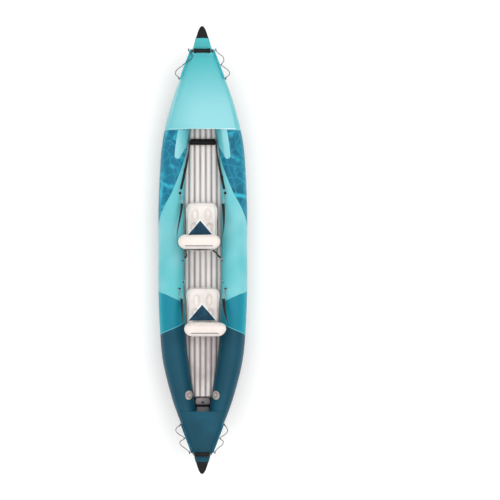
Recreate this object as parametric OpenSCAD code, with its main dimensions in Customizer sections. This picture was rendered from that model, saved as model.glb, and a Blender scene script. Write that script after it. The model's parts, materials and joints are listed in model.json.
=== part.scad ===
// Two-seat inflatable kayak: two side tubes that meet at both ends, a bottom skin,
// an air-mat floor, spray decks, air-filled seats and slide-in fins.
// +X is the bow, +Y is port, +Z is up. The lowest points are the fin tips at z = 0.

/* [Hull] */
// Overall length
hull_len = 4120; // [3400:10:5000]
// Overall width
hull_beam = 826; // [680:2:1000]
// Top of the side tubes above the hull's underside, amidships
hull_depth = 300; // [250:5:360]
// How far the keel line rises at the ends
keel_rise = 430; // [340:5:520]
// How far the tops of the tubes rise at the ends
sheer_rise = 165; // [130:5:200]
// Width of a side tube amidships
tube_w = 238; // [190:2:280]
// Space under a side tube amidships
tube_lift = 41; // [30:1:60]
// Thickness of the coated fabric
fabric = 1; // [0.8:0.1:1.4]
// Thickness of the bottom skin, the decks and the patches
skin_t = 1.2; // [1:0.1:3]

/* [Decks] */
// From the bow's tip back to the bow deck's rear edge
bow_deck_reach = 940; // [760:10:1060]
// From the stern's tip to the stern deck's front edge
stern_deck_reach = 570; // [460:10:760]
// Length of the rubber caps on both ends
cap_len = 112; // [90:2:140]
// How far the decks reach down the outside of the tubes
deck_drop = 27; // [20:1:35]
// Length of the fingers that carry the bow deck's edge aft
arm_len = 275; // [200:5:330]

/* [Floor] */
// Thickness of the air mat
floor_t = 94; // [70:1:105]
// Widest half of the air mat
floor_half_w = 186; // [150:1:200]
// From the stern's tip to the mat's rear end
floor_rear_gap = 680; // [640:5:810]
// From the bow's tip back to the mat's front end
floor_front_gap = 610; // [560:5:760]

/* [Seats] */
// Front edge of the front seat
front_seat_x = 447; // [380:1:520]
// Front edge of the rear seat, aft of the middle
rear_seat_x = 351; // [300:1:420]
// Length of a seat base
seat_len = 460; // [380:5:520]
// Widest a seat base gets
seat_w = 344; // [280:2:360]
// Thickness of a seat base
seat_t = 70; // [55:1:80]
// From the seat's front edge back to the middle of its backrest
back_set = 365; // [320:1:400]
// Height of a backrest above its pivot
back_h = 380; // [320:5:420]
// Half thickness of a backrest's neck
neck_r = 56; // [45:1:62]
// Half thickness of a backrest's head
head_r = 75; // [60:1:85]
// Width of a backrest's neck
neck_w = 290; // [230:2:300]
// Width of a backrest's head
head_w = 400; // [340:2:420]

/* [Fins] */
// How far the fins reach below the hull
fin_depth = 145; // [110:1:190]
// Length of a fin's root
fin_root = 165; // [130:1:190]
// Overall length of a fin
fin_len = 330; // [260:2:380]
// Thickness of a fin
fin_t = 8; // [6:0.5:12]
// Front end of the front fin box
front_fin_x = 702; // [600:1:760]
// Front end of the rear fin box, aft of the middle
rear_fin_x = 568; // [500:1:640]

/* [Fittings] */
// Radius of a main valve's flange
valve_r = 32; // [26:1:38]
// Radius of the valve's through hole
valve_bore_r = 19; // [14:0.5:22]
// Width of the seat and foot webbing
strap_w = 28; // [20:1:38]
// Thickness of the webbing
strap_t = 2; // [1.4:0.1:3]
// Radius of the wire in a D ring
ring_wire_r = 2; // [1.5:0.1:3]
// Length of the bow handle's grip
bow_grip_len = 152; // [120:2:180]
// Length of the stern handle's grip
stern_grip_len = 136; // [110:2:160]
// Radius of a handle grip
grip_r = 18.5; // [15:0.5:22]
// Radius of the grab lines
line_r = 3; // [2.5:0.1:4]
// Length of the foot bar
foot_len = 235; // [190:5:260]
// Radius of the foot bar
foot_r = 29; // [24:0.5:34]

/* [Hidden] */
half_len = hull_len / 2;
half_beam = hull_beam / 2;
keel_z = fin_depth; // underside of the hull amidships
gap = 0.3;          // clearance between neighbouring pieces
skin_gap = 2.2;     // clearance of a skin over the faceted tube
body_end = half_len - cap_len; // tubes, decks and skin stop here
TUBE_RINGS = 48;
TUBE_SIDES = 24;

// Hull offsets: share of the half length against share of the half beam.
BEAM = [[0, 1], [0.2, 1], [0.4, 0.955], [0.5, 0.9], [0.6, 0.785], [0.7, 0.635],
        [0.8, 0.44], [0.9, 0.22], [0.95, 0.135], [1, 0.06]];
// Share of the half length against share of a side tube's full width.
TUBE = [[0, 1], [0.5, 1], [0.6, 0.93], [0.7, 0.81], [0.8, 0.64], [0.9, 0.4], [1, 0.2]];

// --- a smooth curve through a table of points -------------------------------
function span(t, x, i = 0) = (i >= len(t) - 2 || x < t[i + 1][0]) ? i : span(t, x, i + 1);
function rise(t, i) = let (a = max(i - 1, 0), b = min(i + 1, len(t) - 1))
    (t[b][1] - t[a][1]) / (t[b][0] - t[a][0]);
function smooth(t, x) = let (i = span(t, x), h = t[i + 1][0] - t[i][0],
    s = min(max((x - t[i][0]) / h, 0), 1))
    (2 * s ^ 3 - 3 * s ^ 2 + 1) * t[i][1] + (s ^ 3 - 2 * s ^ 2 + s) * h * rise(t, i)
    + (3 * s ^ 2 - 2 * s ^ 3) * t[i + 1][1] + (s ^ 3 - s ^ 2) * h * rise(t, i + 1);

// --- the hull's lines ---------------------------------------------------------
function u_of(x) = min(abs(x) / half_len, 1);
function hull_y(x) = half_beam * smooth(BEAM, u_of(x));
function keel(x) = keel_z + keel_rise * (max(u_of(x) - 0.3, 0) / 0.7) ^ 2.2;
function sheer(x) = keel_z + hull_depth + sheer_rise * (max(u_of(x) - 0.35, 0) / 0.65) ^ 1.2;
function lift(x) = tube_lift - (tube_lift - 15) * min(max((u_of(x) - 0.3) / 0.5, 0), 1);
function tube_a(x) = min(tube_w / 2 * smooth(TUBE, u_of(x)), hull_y(x) / 2 - 0.5);
function tube_b(x) = (sheer(x) - keel(x) - lift(x)) / 2;
function tube_y(x) = hull_y(x) - tube_a(x);
function tube_z(x) = sheer(x) - tube_b(x);
// A point of the port tube's surface at angle p, moved out by d.
function on_tube(x, p, d = 0) = [x, tube_y(x) + (tube_a(x) + d) * cos(p),
    tube_z(x) + (tube_b(x) + d) * sin(p)];
// The tube's inner and outer side at a height, and its upper surface at a width.
function bulge(x, z) = tube_a(x) * sqrt(max(1 - ((z - tube_z(x)) / tube_b(x)) ^ 2, 0));
function inner_y(x, z) = tube_y(x) - bulge(x, z);
function outer_y(x, z) = tube_y(x) + bulge(x, z);
function top_z(x, y) = tube_z(x)
    + tube_b(x) * sqrt(max(1 - ((y - tube_y(x)) / tube_a(x)) ^ 2, 0));
// The direction that the tube's upper surface faces at a place.
function top_normal(x, y) = unit([(top_z(x - 1, y) - top_z(x + 1, y)) / 2,
    (top_z(x, y - 1) - top_z(x, y + 1)) / 2, 1]);
function unit(v) = v / norm(v);
function back_to_front(v) = [for (k = [len(v) - 1:-1:0]) v[k]];
function spread(a, b, n) = [for (i = [0:n]) a + (b - a) * i / n];

// --- closed solids from rings of points ---------------------------------------
// The rings may run either way round: they are turned to face outwards here.
// Each four-sided face is split the same way on both faces of a thin sheet.
function total(v, i = 0) = i == len(v) - 1 ? v[i] : v[i] + total(v, i + 1);
function ring_area(r) = total([for (j = [0:len(r) - 1]) cross(r[j] - r[0], r[(j + 1) % len(r)] - r[0])]);
function facing_out(rings) = ring_area(rings[0]) * (rings[1][0] - rings[0][0]) > 0;
module loft(rings_in) {
    rings = facing_out(rings_in) ? rings_in : [for (r = rings_in) back_to_front(r)];
    n = len(rings[0]);
    m = len(rings);
    polyhedron(
        points = [for (r = rings) each r],
        faces = concat([[for (j = [0:n - 1]) j]],
            [for (i = [0:m - 2], j = [0:n - 1]) let (k = (j + 1) % n, p = i * n, q = p + n)
                each j < n / 2 ? [[p + j, q + j, q + k], [p + j, q + k, p + k]]
                    : [[p + j, q + j, p + k], [q + j, q + k, p + k]]],
            [[for (j = [0:n - 1]) (m - 1) * n + n - 1 - j]]),
        convexity = 6);
}
// A slab that follows the tube between two angles, d0 to d1 above its surface.
module tube_slab(xs, p0, p1, steps, d0, d1) {
    loft([for (x = xs) concat(
        [for (k = [0:steps]) on_tube(x, p0 + (p1 - p0) * k / steps, d1)],
        [for (k = [0:steps]) on_tube(x, p1 + (p0 - p1) * k / steps, d0)])]);
}
module both_sides() {
    children();
    mirror([0, 1, 0]) children();
}
// A round cord or a flat strap swept along points.
function tangent(p, i) = unit(p[min(i + 1, len(p) - 1)] - p[max(i - 1, 0)]);
function side_of(t) = unit(cross(t, abs(t[2]) > 0.95 ? [1, 0, 0] : [0, 0, 1]));
// The section turns from roll r0 at the first point to r1, reached sooner with more haste.
// A side given as a vector keeps the section's width along it.
module sweep(p, section, r0 = 0, r1 = 0, haste = 1, side = undef) {
    loft([for (i = [0:len(p) - 1]) let (t = tangent(p, i), s = is_undef(side) ? side_of(t) : side,
        n = cross(s, t), r = r0 + (r1 - r0) * min(haste * i / (len(p) - 1), 1),
        a = s * cos(r) + n * sin(r), b = n * cos(r) - s * sin(r))
        [for (q = section) p[i] + a * q[0] + b * q[1]]]);
}
function circle_points(r, n) = [for (k = [0:n - 1]) r * [cos(-360 * k / n), sin(-360 * k / n)]];
// Points of a smooth curve through the chosen ones, m per stretch.
function knot(p, i) = p[min(max(i, 0), len(p) - 1)];
function curve(p, m) = concat([for (i = [0:len(p) - 2], k = [0:m - 1]) let (t = k / m)
    (knot(p, i) * 2 + (knot(p, i + 1) - knot(p, i - 1)) * t
    + (knot(p, i - 1) * 2 - knot(p, i) * 5 + knot(p, i + 1) * 4 - knot(p, i + 2)) * t ^ 2
    + (knot(p, i) * 3 - knot(p, i - 1) - knot(p, i + 1) * 3 + knot(p, i + 2)) * t ^ 3) / 2],
    [p[len(p) - 1]]);
module strap(p, r0 = 0, r1 = 0, haste = 1, w = strap_w) {
    t = strap_t;
    sweep(p, [[-w / 2, -t / 2], [-w / 2, t / 2], [w / 2, t / 2], [w / 2, -t / 2]], r0, r1, haste);
}

// === hull =======================================================================
tip_x = hull_len / 2;                  // both ends of the hull
bow_deck_x = tip_x - bow_deck_reach;
stern_deck_x = tip_x - stern_deck_reach;
floor_front_x = tip_x - floor_front_gap;
floor_rear_x = tip_x - floor_rear_gap;
valve_x = tip_x - 717;                 // main valves, aft of the middle
valve_y = 125;
valve_wall = 5;
valve_body_r = valve_bore_r + valve_wall;

// Puts its children on the port tube's upper surface, +Z out of the tube.
module on_skin(x, y) {
    n = top_normal(x, y);
    translate([x, y, top_z(x, y)]) rotate([-asin(n[1]), atan2(n[0], n[2]), 0]) children();
}
module tube_form(d, stop) {
    loft([for (i = [0:TUBE_RINGS]) let (x = stop * sin(-90 + 180 * i / TUBE_RINGS))
        [for (k = [0:TUBE_SIDES - 1]) on_tube(x, 360 * k / TUBE_SIDES, d)]]);
}
module port_tube() {
    difference() {
        tube_form(0, body_end - gap);
        tube_form(-fabric, body_end - gap - fabric);
        on_skin(-valve_x, valve_y) cylinder(h = 20, r = valve_body_r + gap, center = true, $fn = 48);
    }
}
module hull_tube_port() {
    color([0.35, 0.74, 0.77]) port_tube();
}
module hull_tube_starboard() {
    color([0.35, 0.74, 0.77]) mirror([0, 1, 0]) port_tube();
}
// Bottom skin: joins each tube at this angle and bellies down to the keel line.
chine_angle = -55;
belly_power = 6; // how square the bilge is
function belly(x, d, up, n = 9) = let (e = on_tube(x, chine_angle, d), low = keel(x) + up)
    [for (k = [-n:n]) [x, e[1] * k / n, low + (e[2] - low) * abs(k / n) ^ belly_power]];
module hull_bottom() {
    color([0.12, 0.12, 0.13])
        loft([for (x = spread(-body_end + gap, body_end - gap, 40))
            concat(belly(x, skin_gap + skin_t, 0), back_to_front(belly(x, skin_gap, skin_t)))]);
}
// Pale tape over the seam between the bottom and each tube.
module chine_tapes() {
    color([0.48, 0.71, 0.68]) both_sides()
        tube_slab(spread(-880, 1250, 18), chine_angle + 2, chine_angle + 18, 2,
            skin_gap, skin_gap + skin_t);
}
// Rubber caps on the ends, with ribs across.
function cap_ring(x, grow, n = 24) = let (t = (x - body_end) / cap_len, s = sqrt(1 - t ^ 5),
    w = (hull_y(x) + grow) * s, h = ((sheer(x) - keel(x)) / 2 + grow) * s,
    c = (sheer(x) + keel(x)) / 2)
    [for (k = [0:n - 1]) let (a = 360 * k / n) [x, w * pow(abs(cos(a)), 0.8) * sign(cos(a)),
        c + h * pow(abs(sin(a)), 0.8) * sign(sin(a))]];
module end_cap() {
    rib = 2;
    loft([for (i = [0:12]) let (t = sin(90 * i / 12) * 0.998)
        cap_ring(body_end + cap_len * t, (i % 3 == 0 && i < 10) ? rib : 0)]);
}
module bow_cap() {
    color([0.1, 0.1, 0.1]) end_cap();
}
module stern_cap() {
    color([0.1, 0.1, 0.1]) mirror([1, 0, 0]) end_cap();
}

// === decks ======================================================================
// A sheet from one tube's outside, over its top, across to the other tube.
deck_camber = 8; // rise of a deck's middle above the tubes' tops
function deck_edge(x) = asin(max(tube_b(x) - deck_drop, 0) / tube_b(x));
function half_deck(x, d) = let (start = deck_edge(x)) concat(
    [for (k = [0:4]) on_tube(x, start + (90 - start) * k / 4, d)],
    [for (k = [1:4]) let (e = on_tube(x, 90, d), f = 1 - k / 4)
        [x, e[1] * f, e[2] + deck_camber * (1 - f ^ 2)]]);
function across(h) = concat(h, [for (k = [len(h) - 2:-1:0]) [h[k][0], -h[k][1], h[k][2]]]);
module deck(x0, x1, n) {
    loft([for (x = spread(x0, x1, n)) concat(across(half_deck(x, skin_gap + skin_t)),
        back_to_front(across(half_deck(x, skin_gap))))]);
}
module bow_deck() {
    color([0.47, 0.78, 0.81]) deck(bow_deck_x, body_end - gap, 12);
}
module stern_deck() {
    color([0.09, 0.36, 0.46]) mirror([1, 0, 0]) deck(stern_deck_x, body_end - gap, 8);
}
module deck_arms() {
    color([0.6, 0.84, 0.88]) both_sides()
        tube_slab(spread(bow_deck_x - arm_len - gap, bow_deck_x - gap, 14), 96, 124, 4,
            skin_gap, skin_gap + skin_t);
}

// === grab lines =================================================================
strip_t = 4;
strip_w = 22;
strip_drop = 30 + strip_t / 2; // middle of the strip below the sheer
eye_r = 8;                     // middle radius of a pad eye
eye_wire = 2;
function strip_in(x) = let (z = sheer(x) - strip_drop) [x, outer_y(x, z - strip_t / 2) + 0.5, z];
function strip_out(x) = strip_in(x) + [0, strip_w, 0];
module grab_strip(x0, x1) {
    loft([for (x = spread(x0, x1, 8)) let (a = strip_in(x), b = strip_out(x), h = [0, 0, strip_t / 2])
        [a - h, a + h, b + h, b - h]]);
}
module grab_strips() {
    color([0.12, 0.42, 0.48]) {
        both_sides() grab_strip(tip_x - 480, tip_x - 210);
        mirror([1, 0, 0]) both_sides() grab_strip(tip_x - 450, tip_x - 190);
    }
}
BOW_EYES = [tip_x - 222, tip_x - 348, tip_x - 470];
STERN_EYES = [tip_x - 200, tip_x - 322, tip_x - 440];
function eye_place(x) = strip_out(x) + [0, eye_r + eye_wire + gap, 0];
module eye_row(places) {
    both_sides() for (x = places) translate(eye_place(x)) rotate([0, 90, 0])
        rotate_extrude($fn = 24) translate([eye_r, 0]) circle(eye_wire, $fn = 16);
}
module pad_eyes() {
    color([0.1, 0.1, 0.1]) {
        eye_row(BOW_EYES);
        mirror([1, 0, 0]) eye_row(STERN_EYES);
    }
}

// Each line's points: tied at the first and last eye, through the middle one, loose between.
BOW_PORT_LINE = [[1850, 125, 546], [1838, 125, 546], [1818, 112, 560], [1790, 92, 574], [1760, 100, 572],
    [1734, 140, 552], [1712, 173, 528], [1702, 178, 526], [1682, 212, 516], [1652, 243, 512],
    [1618, 246, 511], [1600, 226, 511], [1590, 217, 511], [1578, 215, 511]];
BOW_STARBOARD_LINE = [[1850, -125, 546], [1838, -125, 546], [1812, -150, 541], [1780, -192, 535],
    [1745, -198, 530], [1722, -182, 528], [1712, -173, 528], [1702, -178, 526], [1680, -212, 517],
    [1650, -246, 511], [1616, -248, 510], [1600, -226, 511], [1590, -217, 511], [1578, -215, 511]];
STERN_PORT_LINE = [[-1872, 117, 549], [-1860, 117, 549], [-1834, 150, 543], [-1800, 196, 536],
    [-1768, 206, 532], [-1748, 174, 531], [-1738, 163, 532], [-1728, 168, 530], [-1702, 212, 524],
    [-1670, 244, 519], [-1640, 236, 516], [-1620, 206, 515], [-1608, 203, 516]];
STERN_STARBOARD_LINE = [[-1872, -117, 549], [-1860, -117, 549], [-1830, -142, 543], [-1796, -184, 536],
    [-1764, -194, 532], [-1748, -172, 531], [-1738, -163, 532], [-1728, -168, 530], [-1704, -206, 524],
    [-1674, -232, 519], [-1642, -226, 516], [-1620, -206, 515], [-1608, -203, 516]];
module grab_line(points) {
    sweep(points, circle_points(line_r, 8));
}
module grab_lines_bow() {
    color([0.08, 0.08, 0.08]) {
        grab_line(BOW_PORT_LINE);
        grab_line(BOW_STARBOARD_LINE);
    }
}
module grab_lines_stern() {
    color([0.08, 0.08, 0.08]) {
        grab_line(STERN_PORT_LINE);
        grab_line(STERN_STARBOARD_LINE);
    }
}

// === carry handles ==============================================================
bow_handle_x = tip_x - 230;
stern_handle_x = 184 - tip_x;
grip_end_r = grip_r + 3.5;
grip_bore_r = grip_r - 6;
grip_web_w = 20;
function deck_top(x) = sheer(x) + deck_camber + skin_gap + skin_t;
function grip_z(x) = deck_top(x) + grip_end_r + 5;
module grip(x, length) {
    e = length / 2;
    color([0.08, 0.08, 0.08]) translate([x, 0, grip_z(x)]) rotate([90, 0, 0])
        rotate_extrude($fn = 48) polygon([[grip_bore_r, -e], [grip_end_r - 3, -e], [grip_end_r, -e + 4],
            [grip_end_r, -e + 16], [grip_r, -e * 0.45], [grip_r, e * 0.45], [grip_end_r, e - 16],
            [grip_end_r, e - 4], [grip_end_r - 3, e], [grip_bore_r, e]]);
}
// Flat webbing through the grip, down to the deck just outside its ends.
module grip_web(x, length) {
    e = length / 2;
    z = grip_z(x);
    foot = e + 6;
    foot_z = top_z(abs(x), foot) + 4 * skin_gap + 2 * skin_t;
    half_z = (z + foot_z) / 2;
    color([0.12, 0.12, 0.12]) sweep([[x, -foot, foot_z], [x, -foot + 1, half_z], [x, -e - 2, z - 3],
        [x, -e + 10, z], [x, 0, z], [x, e - 10, z], [x, e + 2, z - 3], [x, foot - 1, half_z],
        [x, foot, foot_z]], [[-grip_web_w / 2, -strap_t / 2], [-grip_web_w / 2, strap_t / 2],
        [grip_web_w / 2, strap_t / 2], [grip_web_w / 2, -strap_t / 2]], side = [1, 0, 0]);
}
// A patch on the deck under a handle, over both tubes' tops.
patch_gap = 1;        // between a deck and the patches under the handles
patch_from = 35;      // where a patch begins on the outer side of a tube
patch_to = 88;
module deck_patch(x0, x1) {
    d = skin_gap + skin_t + patch_gap;
    both_sides() tube_slab(spread(x0, x1, 10), patch_from, patch_to, 8, d, d + skin_t);
}
module bow_handle_grip() {
    grip(bow_handle_x, bow_grip_len);
}
module stern_handle_grip() {
    grip(stern_handle_x, stern_grip_len);
}
module bow_handle_web() {
    grip_web(bow_handle_x, bow_grip_len);
}
module stern_handle_web() {
    grip_web(stern_handle_x, stern_grip_len);
}
patch_aft = 38;       // from a grip's middle to its patch's edge, towards amidships
patch_fore = 24;      // and towards the tip
module bow_handle_patch() {
    color([0.3, 0.6, 0.65]) deck_patch(bow_handle_x - patch_aft, bow_handle_x + patch_fore);
}
module stern_handle_patch() {
    color([0.09, 0.34, 0.44]) mirror([1, 0, 0])
        deck_patch(-stern_handle_x - patch_aft, -stern_handle_x + patch_fore);
}

// === main valves ================================================================
valve_flange_t = 3;
valve_deep = 30;      // the body's depth inside the tube
valve_lip_r = valve_bore_r - 5;
valve_pin_r = 3;
running = 0.05;       // radial clearance of a running fit
cap_r = valve_bore_r + 7;
cap_hinge_r = 1.2;
cap_hinge_y = valve_r + 3;
cap_hinge_z = valve_flange_t + gap + 2.4;
module valve_body_form() {
    difference() {
        union() {
            translate([0, 0, gap]) cylinder(h = valve_flange_t, r = valve_r, $fn = 64);
            translate([0, 0, -valve_deep]) cylinder(h = valve_deep + 1, r = valve_body_r, $fn = 64);
            for (s = [-1, 1]) translate([s * 7 - 2.5, cap_hinge_y - 5, gap])
                cube([5, 8, cap_hinge_z + 2.4 - gap]);
        }
        translate([0, 0, -valve_deep + 6]) cylinder(h = valve_deep + 10, r = valve_bore_r, $fn = 64);
        translate([0, 0, -valve_deep - 1]) cylinder(h = valve_deep, r = valve_lip_r, $fn = 64);
        translate([0, cap_hinge_y, cap_hinge_z]) rotate([0, 90, 0])
            cylinder(h = 30, r = cap_hinge_r, center = true, $fn = 24);
    }
    difference() {
        union() {
            translate([0, 0, -16]) cylinder(h = 4, r = 7, $fn = 32);
            translate([-valve_bore_r - 1, -2, -16]) cube([2 * valve_bore_r + 2, 4, 4]);
        }
        translate([0, 0, -20]) cylinder(h = 12, r = valve_pin_r + running, $fn = 32);
    }
}
module valve_pin_form() {
    translate([0, 0, -valve_deep - 3 - gap]) cylinder(h = 3, r = valve_lip_r + 3, $fn = 48);
    translate([0, 0, -valve_deep - 1]) cylinder(h = valve_deep - 2, r = valve_pin_r, $fn = 32);
    translate([0, 0, -6]) cylinder(h = 3, r = 6.5, $fn = 32);
}
// Four coils, drawn as rings one above the other on a thin sleeve.
module valve_spring_form() {
    bottom = -12 + 0.1;
    pitch = (6 - 0.2) / 4;
    translate([0, 0, bottom]) rotate_extrude($fn = 32) {
        translate([valve_pin_r + 0.6, 0]) square([0.5, 4 * pitch]);
        for (k = [0:3]) translate([valve_pin_r + 1.2, pitch * (k + 0.5)]) circle(0.6, $fn = 16);
    }
}
module valve_cap_form() {
    base = valve_flange_t + 2 * gap;
    difference() {
        union() {
            translate([0, 0, base]) cylinder(h = 5, r = cap_r, $fn = 64);
            translate([0, 0, base + 5]) cylinder(h = 2, r1 = cap_r, r2 = cap_r - 2, $fn = 64);
            translate([0, 0, -2]) cylinder(h = base + 2, r = valve_bore_r - 1.6, $fn = 64);
            translate([-4, cap_r - 4, base]) cube([8, cap_hinge_y - cap_r + 4, 5]);
            translate([0, cap_hinge_y, cap_hinge_z]) rotate([0, 90, 0])
                cylinder(h = 8, r = 2.4, center = true, $fn = 32);
        }
        translate([0, cap_hinge_y, cap_hinge_z]) rotate([0, 90, 0])
            cylinder(h = 12, r = cap_hinge_r + running, center = true, $fn = 24);
    }
}
module valve_body_port() {
    color([0.5, 0.48, 0.46]) on_skin(-valve_x, valve_y) valve_body_form();
}
module valve_body_starboard() {
    mirror([0, 1, 0]) valve_body_port();
}
module valve_pin_port() {
    color([0.75, 0.72, 0.68]) on_skin(-valve_x, valve_y) valve_pin_form();
}
module valve_pin_starboard() {
    mirror([0, 1, 0]) valve_pin_port();
}
module valve_spring_port() {
    color([0.7, 0.7, 0.72]) on_skin(-valve_x, valve_y) valve_spring_form();
}
module valve_spring_starboard() {
    mirror([0, 1, 0]) valve_spring_port();
}
module valve_cap_port() {
    color([0.62, 0.58, 0.54]) on_skin(-valve_x, valve_y) valve_cap_form();
}
module valve_cap_starboard() {
    mirror([0, 1, 0]) valve_cap_port();
}

// === floor ======================================================================
plug_x = floor_rear_x + 40;
plug_r = 10;
mat_gap = 3;
function mat_z(x) = keel(x) + skin_t + mat_gap;
function mat_top(x) = mat_z(x) + floor_t;
function mat_w(x) = min(floor_half_w, inner_y(x, mat_top(x)) - mat_gap);
module mat_form(d) {
    loft([for (x = spread(-floor_rear_x + d, floor_front_x - d, 24))
        let (w = mat_w(x) - d, lo = mat_z(x) + d, hi = mat_top(x) - d, r = 26)
        [[x, -w, lo + r], [x, -w, hi - r], [x, -w + r * 0.3, hi - r * 0.3], [x, -w + r, hi],
        [x, w - r, hi], [x, w - r * 0.3, hi - r * 0.3], [x, w, hi - r],
        [x, w, lo + r], [x, w - r, lo], [x, -w + r, lo]]]);
}
module floor_mat() {
    color([0.86, 0.83, 0.82]) difference() {
        mat_form(0);
        mat_form(fabric);
        translate([-floor_rear_x, 0, mat_z(floor_rear_x) + floor_t / 2]) rotate([0, 90, 0])
            cylinder(h = 10, r = 8, center = true, $fn = 32);
    }
}
// The mat's flat tail carries its valve and is held down by webbing.
flap_len = 60;
flap_half_w = 66;
flap_t = 4;
flap_z = mat_z(plug_x) + (floor_t - 2) / 2;
module floor_flap() {
    color([0.5, 0.49, 0.51]) difference() {
        translate([-floor_rear_x - gap - flap_len, -flap_half_w, flap_z])
            cube([flap_len, 2 * flap_half_w, flap_t]);
        translate([-plug_x, 0, flap_z - 1]) cylinder(h = flap_t + 2, r = plug_r - 3 + gap, $fn = 32);
    }
}
module floor_plug() {
    color([0.07, 0.07, 0.07]) {
        translate([-plug_x, 0, flap_z + 4 + gap]) cylinder(h = 7, r = plug_r, $fn = 32);
        translate([-plug_x, 0, flap_z - 6]) cylinder(h = 11, r = plug_r - 3, $fn = 32);
    }
}
module floor_strap() {
    tail = floor_rear_x + flap_len;
    w = 80;
    color([0.1, 0.1, 0.1]) translate([-tail - 20, -w, flap_z + 4 + gap]) cube([18, 2 * w, strap_t]);
}

// === D rings and snap hooks =====================================================
ring_r = 15;          // middle radius of the ring's bow
ring_leg = 8;
ring_lift = 3.5;      // the ring's bar above the tube
ring_pitch = 12;      // the bow's tilt away from the tube
front_ring_x = 520;
front_ring_y = 212;
foot_ring_x = front_ring_x + 16;
rear_ring_x = 362;
rear_ring_y = 216;
tie_ring_x = 95;      // low rings that hold the front seat's tethers
tie_ring_y = 186;
spare_ring_x = 296;
spare_ring_y = 184;
ring_reach = ring_leg + ring_r;
// A D ring whose bow points along +X.
module d_ring() {
    w = ring_wire_r;
    translate([0, 0, ring_lift]) rotate([0, -ring_pitch, 0]) {
        rotate([90, 0, 0]) cylinder(h = 2 * ring_r, r = w, center = true, $fn = 24);
        for (s = [-1, 1]) translate([0, s * ring_r, 0]) {
            sphere(w, $fn = 24);
            rotate([0, 90, 0]) cylinder(h = ring_leg, r = w, $fn = 24);
        }
        translate([ring_leg, 0, 0]) rotate([0, 0, -90]) rotate_extrude(angle = 180, $fn = 48)
            translate([ring_r, 0]) circle(w, $fn = 24);
    }
}
// The webbing tab that holds a ring's bar down, with its square patch.
module ring_tab() {
    tab_w = 2 * (ring_r - ring_wire_r) - 2;
    difference() {
        translate([-9, -tab_w / 2, 0.8]) cube([13, tab_w, ring_lift + ring_wire_r + 0.6]);
        translate([0, 0, ring_lift]) rotate([90, 0, 0])
            cylinder(h = tab_w + 2, r = ring_wire_r + running, center = true, $fn = 24);
    }
}
module place_ring(x, y, way) {
    on_skin(x, y) rotate([0, 0, way > 0 ? 0 : 180]) children();
}
module ring_places() {
    both_sides() {
        place_ring(front_ring_x, front_ring_y, -1) children();
        place_ring(foot_ring_x, front_ring_y, 1) children();
        place_ring(-rear_ring_x, rear_ring_y, -1) children();
        place_ring(-tie_ring_x, tie_ring_y, 1) children();
        place_ring(-spare_ring_x, spare_ring_y, 1) children();
    }
}
module d_rings() {
    color([0.6, 0.6, 0.62]) ring_places() d_ring();
}
module ring_tabs() {
    color([0.1, 0.1, 0.1]) ring_places() ring_tab();
}
// Snap hook, flat in X and Z: its bow is at +X and its strap loop at -X.
hook_r = 10;
hook_wall = 4;
hook_bow = 24;        // between the centres of the hook's round ends
hook_t = 5;
gate_r = 1.9;
gate_pin_r = 1;
gate_at = [3, hook_r - hook_wall / 2];
loop_w = 34;
module stadium(r, length) {
    circle(r, $fn = 48);
    translate([length, 0]) circle(r, $fn = 48);
    translate([0, -r]) square([length, 2 * r]);
}
module hook_form() {
    rotate([90, 0, 0]) difference() {
        translate([0, 0, -hook_t / 2]) linear_extrude(hook_t) difference() {
            stadium(hook_r, hook_bow);
            stadium(hook_r - hook_wall, hook_bow);
            translate([gate_at[0] + 2.6, hook_r - hook_wall - 1]) square([hook_bow - 4, hook_wall + 2]);
        }
        translate([gate_at[0] - 2.4, gate_at[1] - 4, -1.6]) cube([8, 8, 3.2]);
        translate([gate_at[0], gate_at[1], -5]) cylinder(h = 10, r = gate_pin_r, $fn = 24);
    }
    translate([-hook_r - 7, 0, 0]) rotate([0, 90, 0]) cylinder(h = 9, r = 3, $fn = 24);
    translate([-hook_r - 18, 0, 0]) {
        for (x = [0, 12]) translate([x, 0, 0]) rotate([90, 0, 0])
            cylinder(h = loop_w, r = 2, center = true, $fn = 24);
        for (s = [-1, 1]) translate([0, s * loop_w / 2, 0]) {
            rotate([0, 90, 0]) cylinder(h = 12, r = 2, $fn = 24);
            sphere(2, $fn = 24);
            translate([12, 0, 0]) sphere(2, $fn = 24);
        }
    }
}
module gate_form() {
    rotate([90, 0, 0]) translate([gate_at[0], gate_at[1], 0]) difference() {
        union() {
            cylinder(h = 2.8, r = gate_r, center = true, $fn = 32);
            translate([0, -1.3, -1.4]) cube([hook_bow - gate_at[0] + 1.2, 2.6, 2.8]);
        }
        cylinder(h = 6, r = gate_pin_r + running, center = true, $fn = 24);
    }
}
module gate_pin_form() {
    rotate([90, 0, 0]) translate([gate_at[0], gate_at[1], 0])
        cylinder(h = hook_t, r = gate_pin_r, center = true, $fn = 24);
}
// The hook's bow catches the ring's bow: both follow the same reach.
hook_pitch = 17;
hook_catch = hook_bow + hook_r - hook_wall - ring_wire_r - gap;
module on_hook(x, y) {
    on_skin(x, y) translate([-ring_reach * cos(ring_pitch), 0, ring_lift + ring_reach * sin(ring_pitch)])
        rotate([0, hook_pitch, 0]) translate([-hook_catch, 0, 0]) children();
}
module snap_hooks() {
    color([0.7, 0.7, 0.72]) both_sides() {
        on_hook(front_ring_x, front_ring_y) hook_form();
        on_hook(-rear_ring_x, rear_ring_y) hook_form();
    }
}
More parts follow.
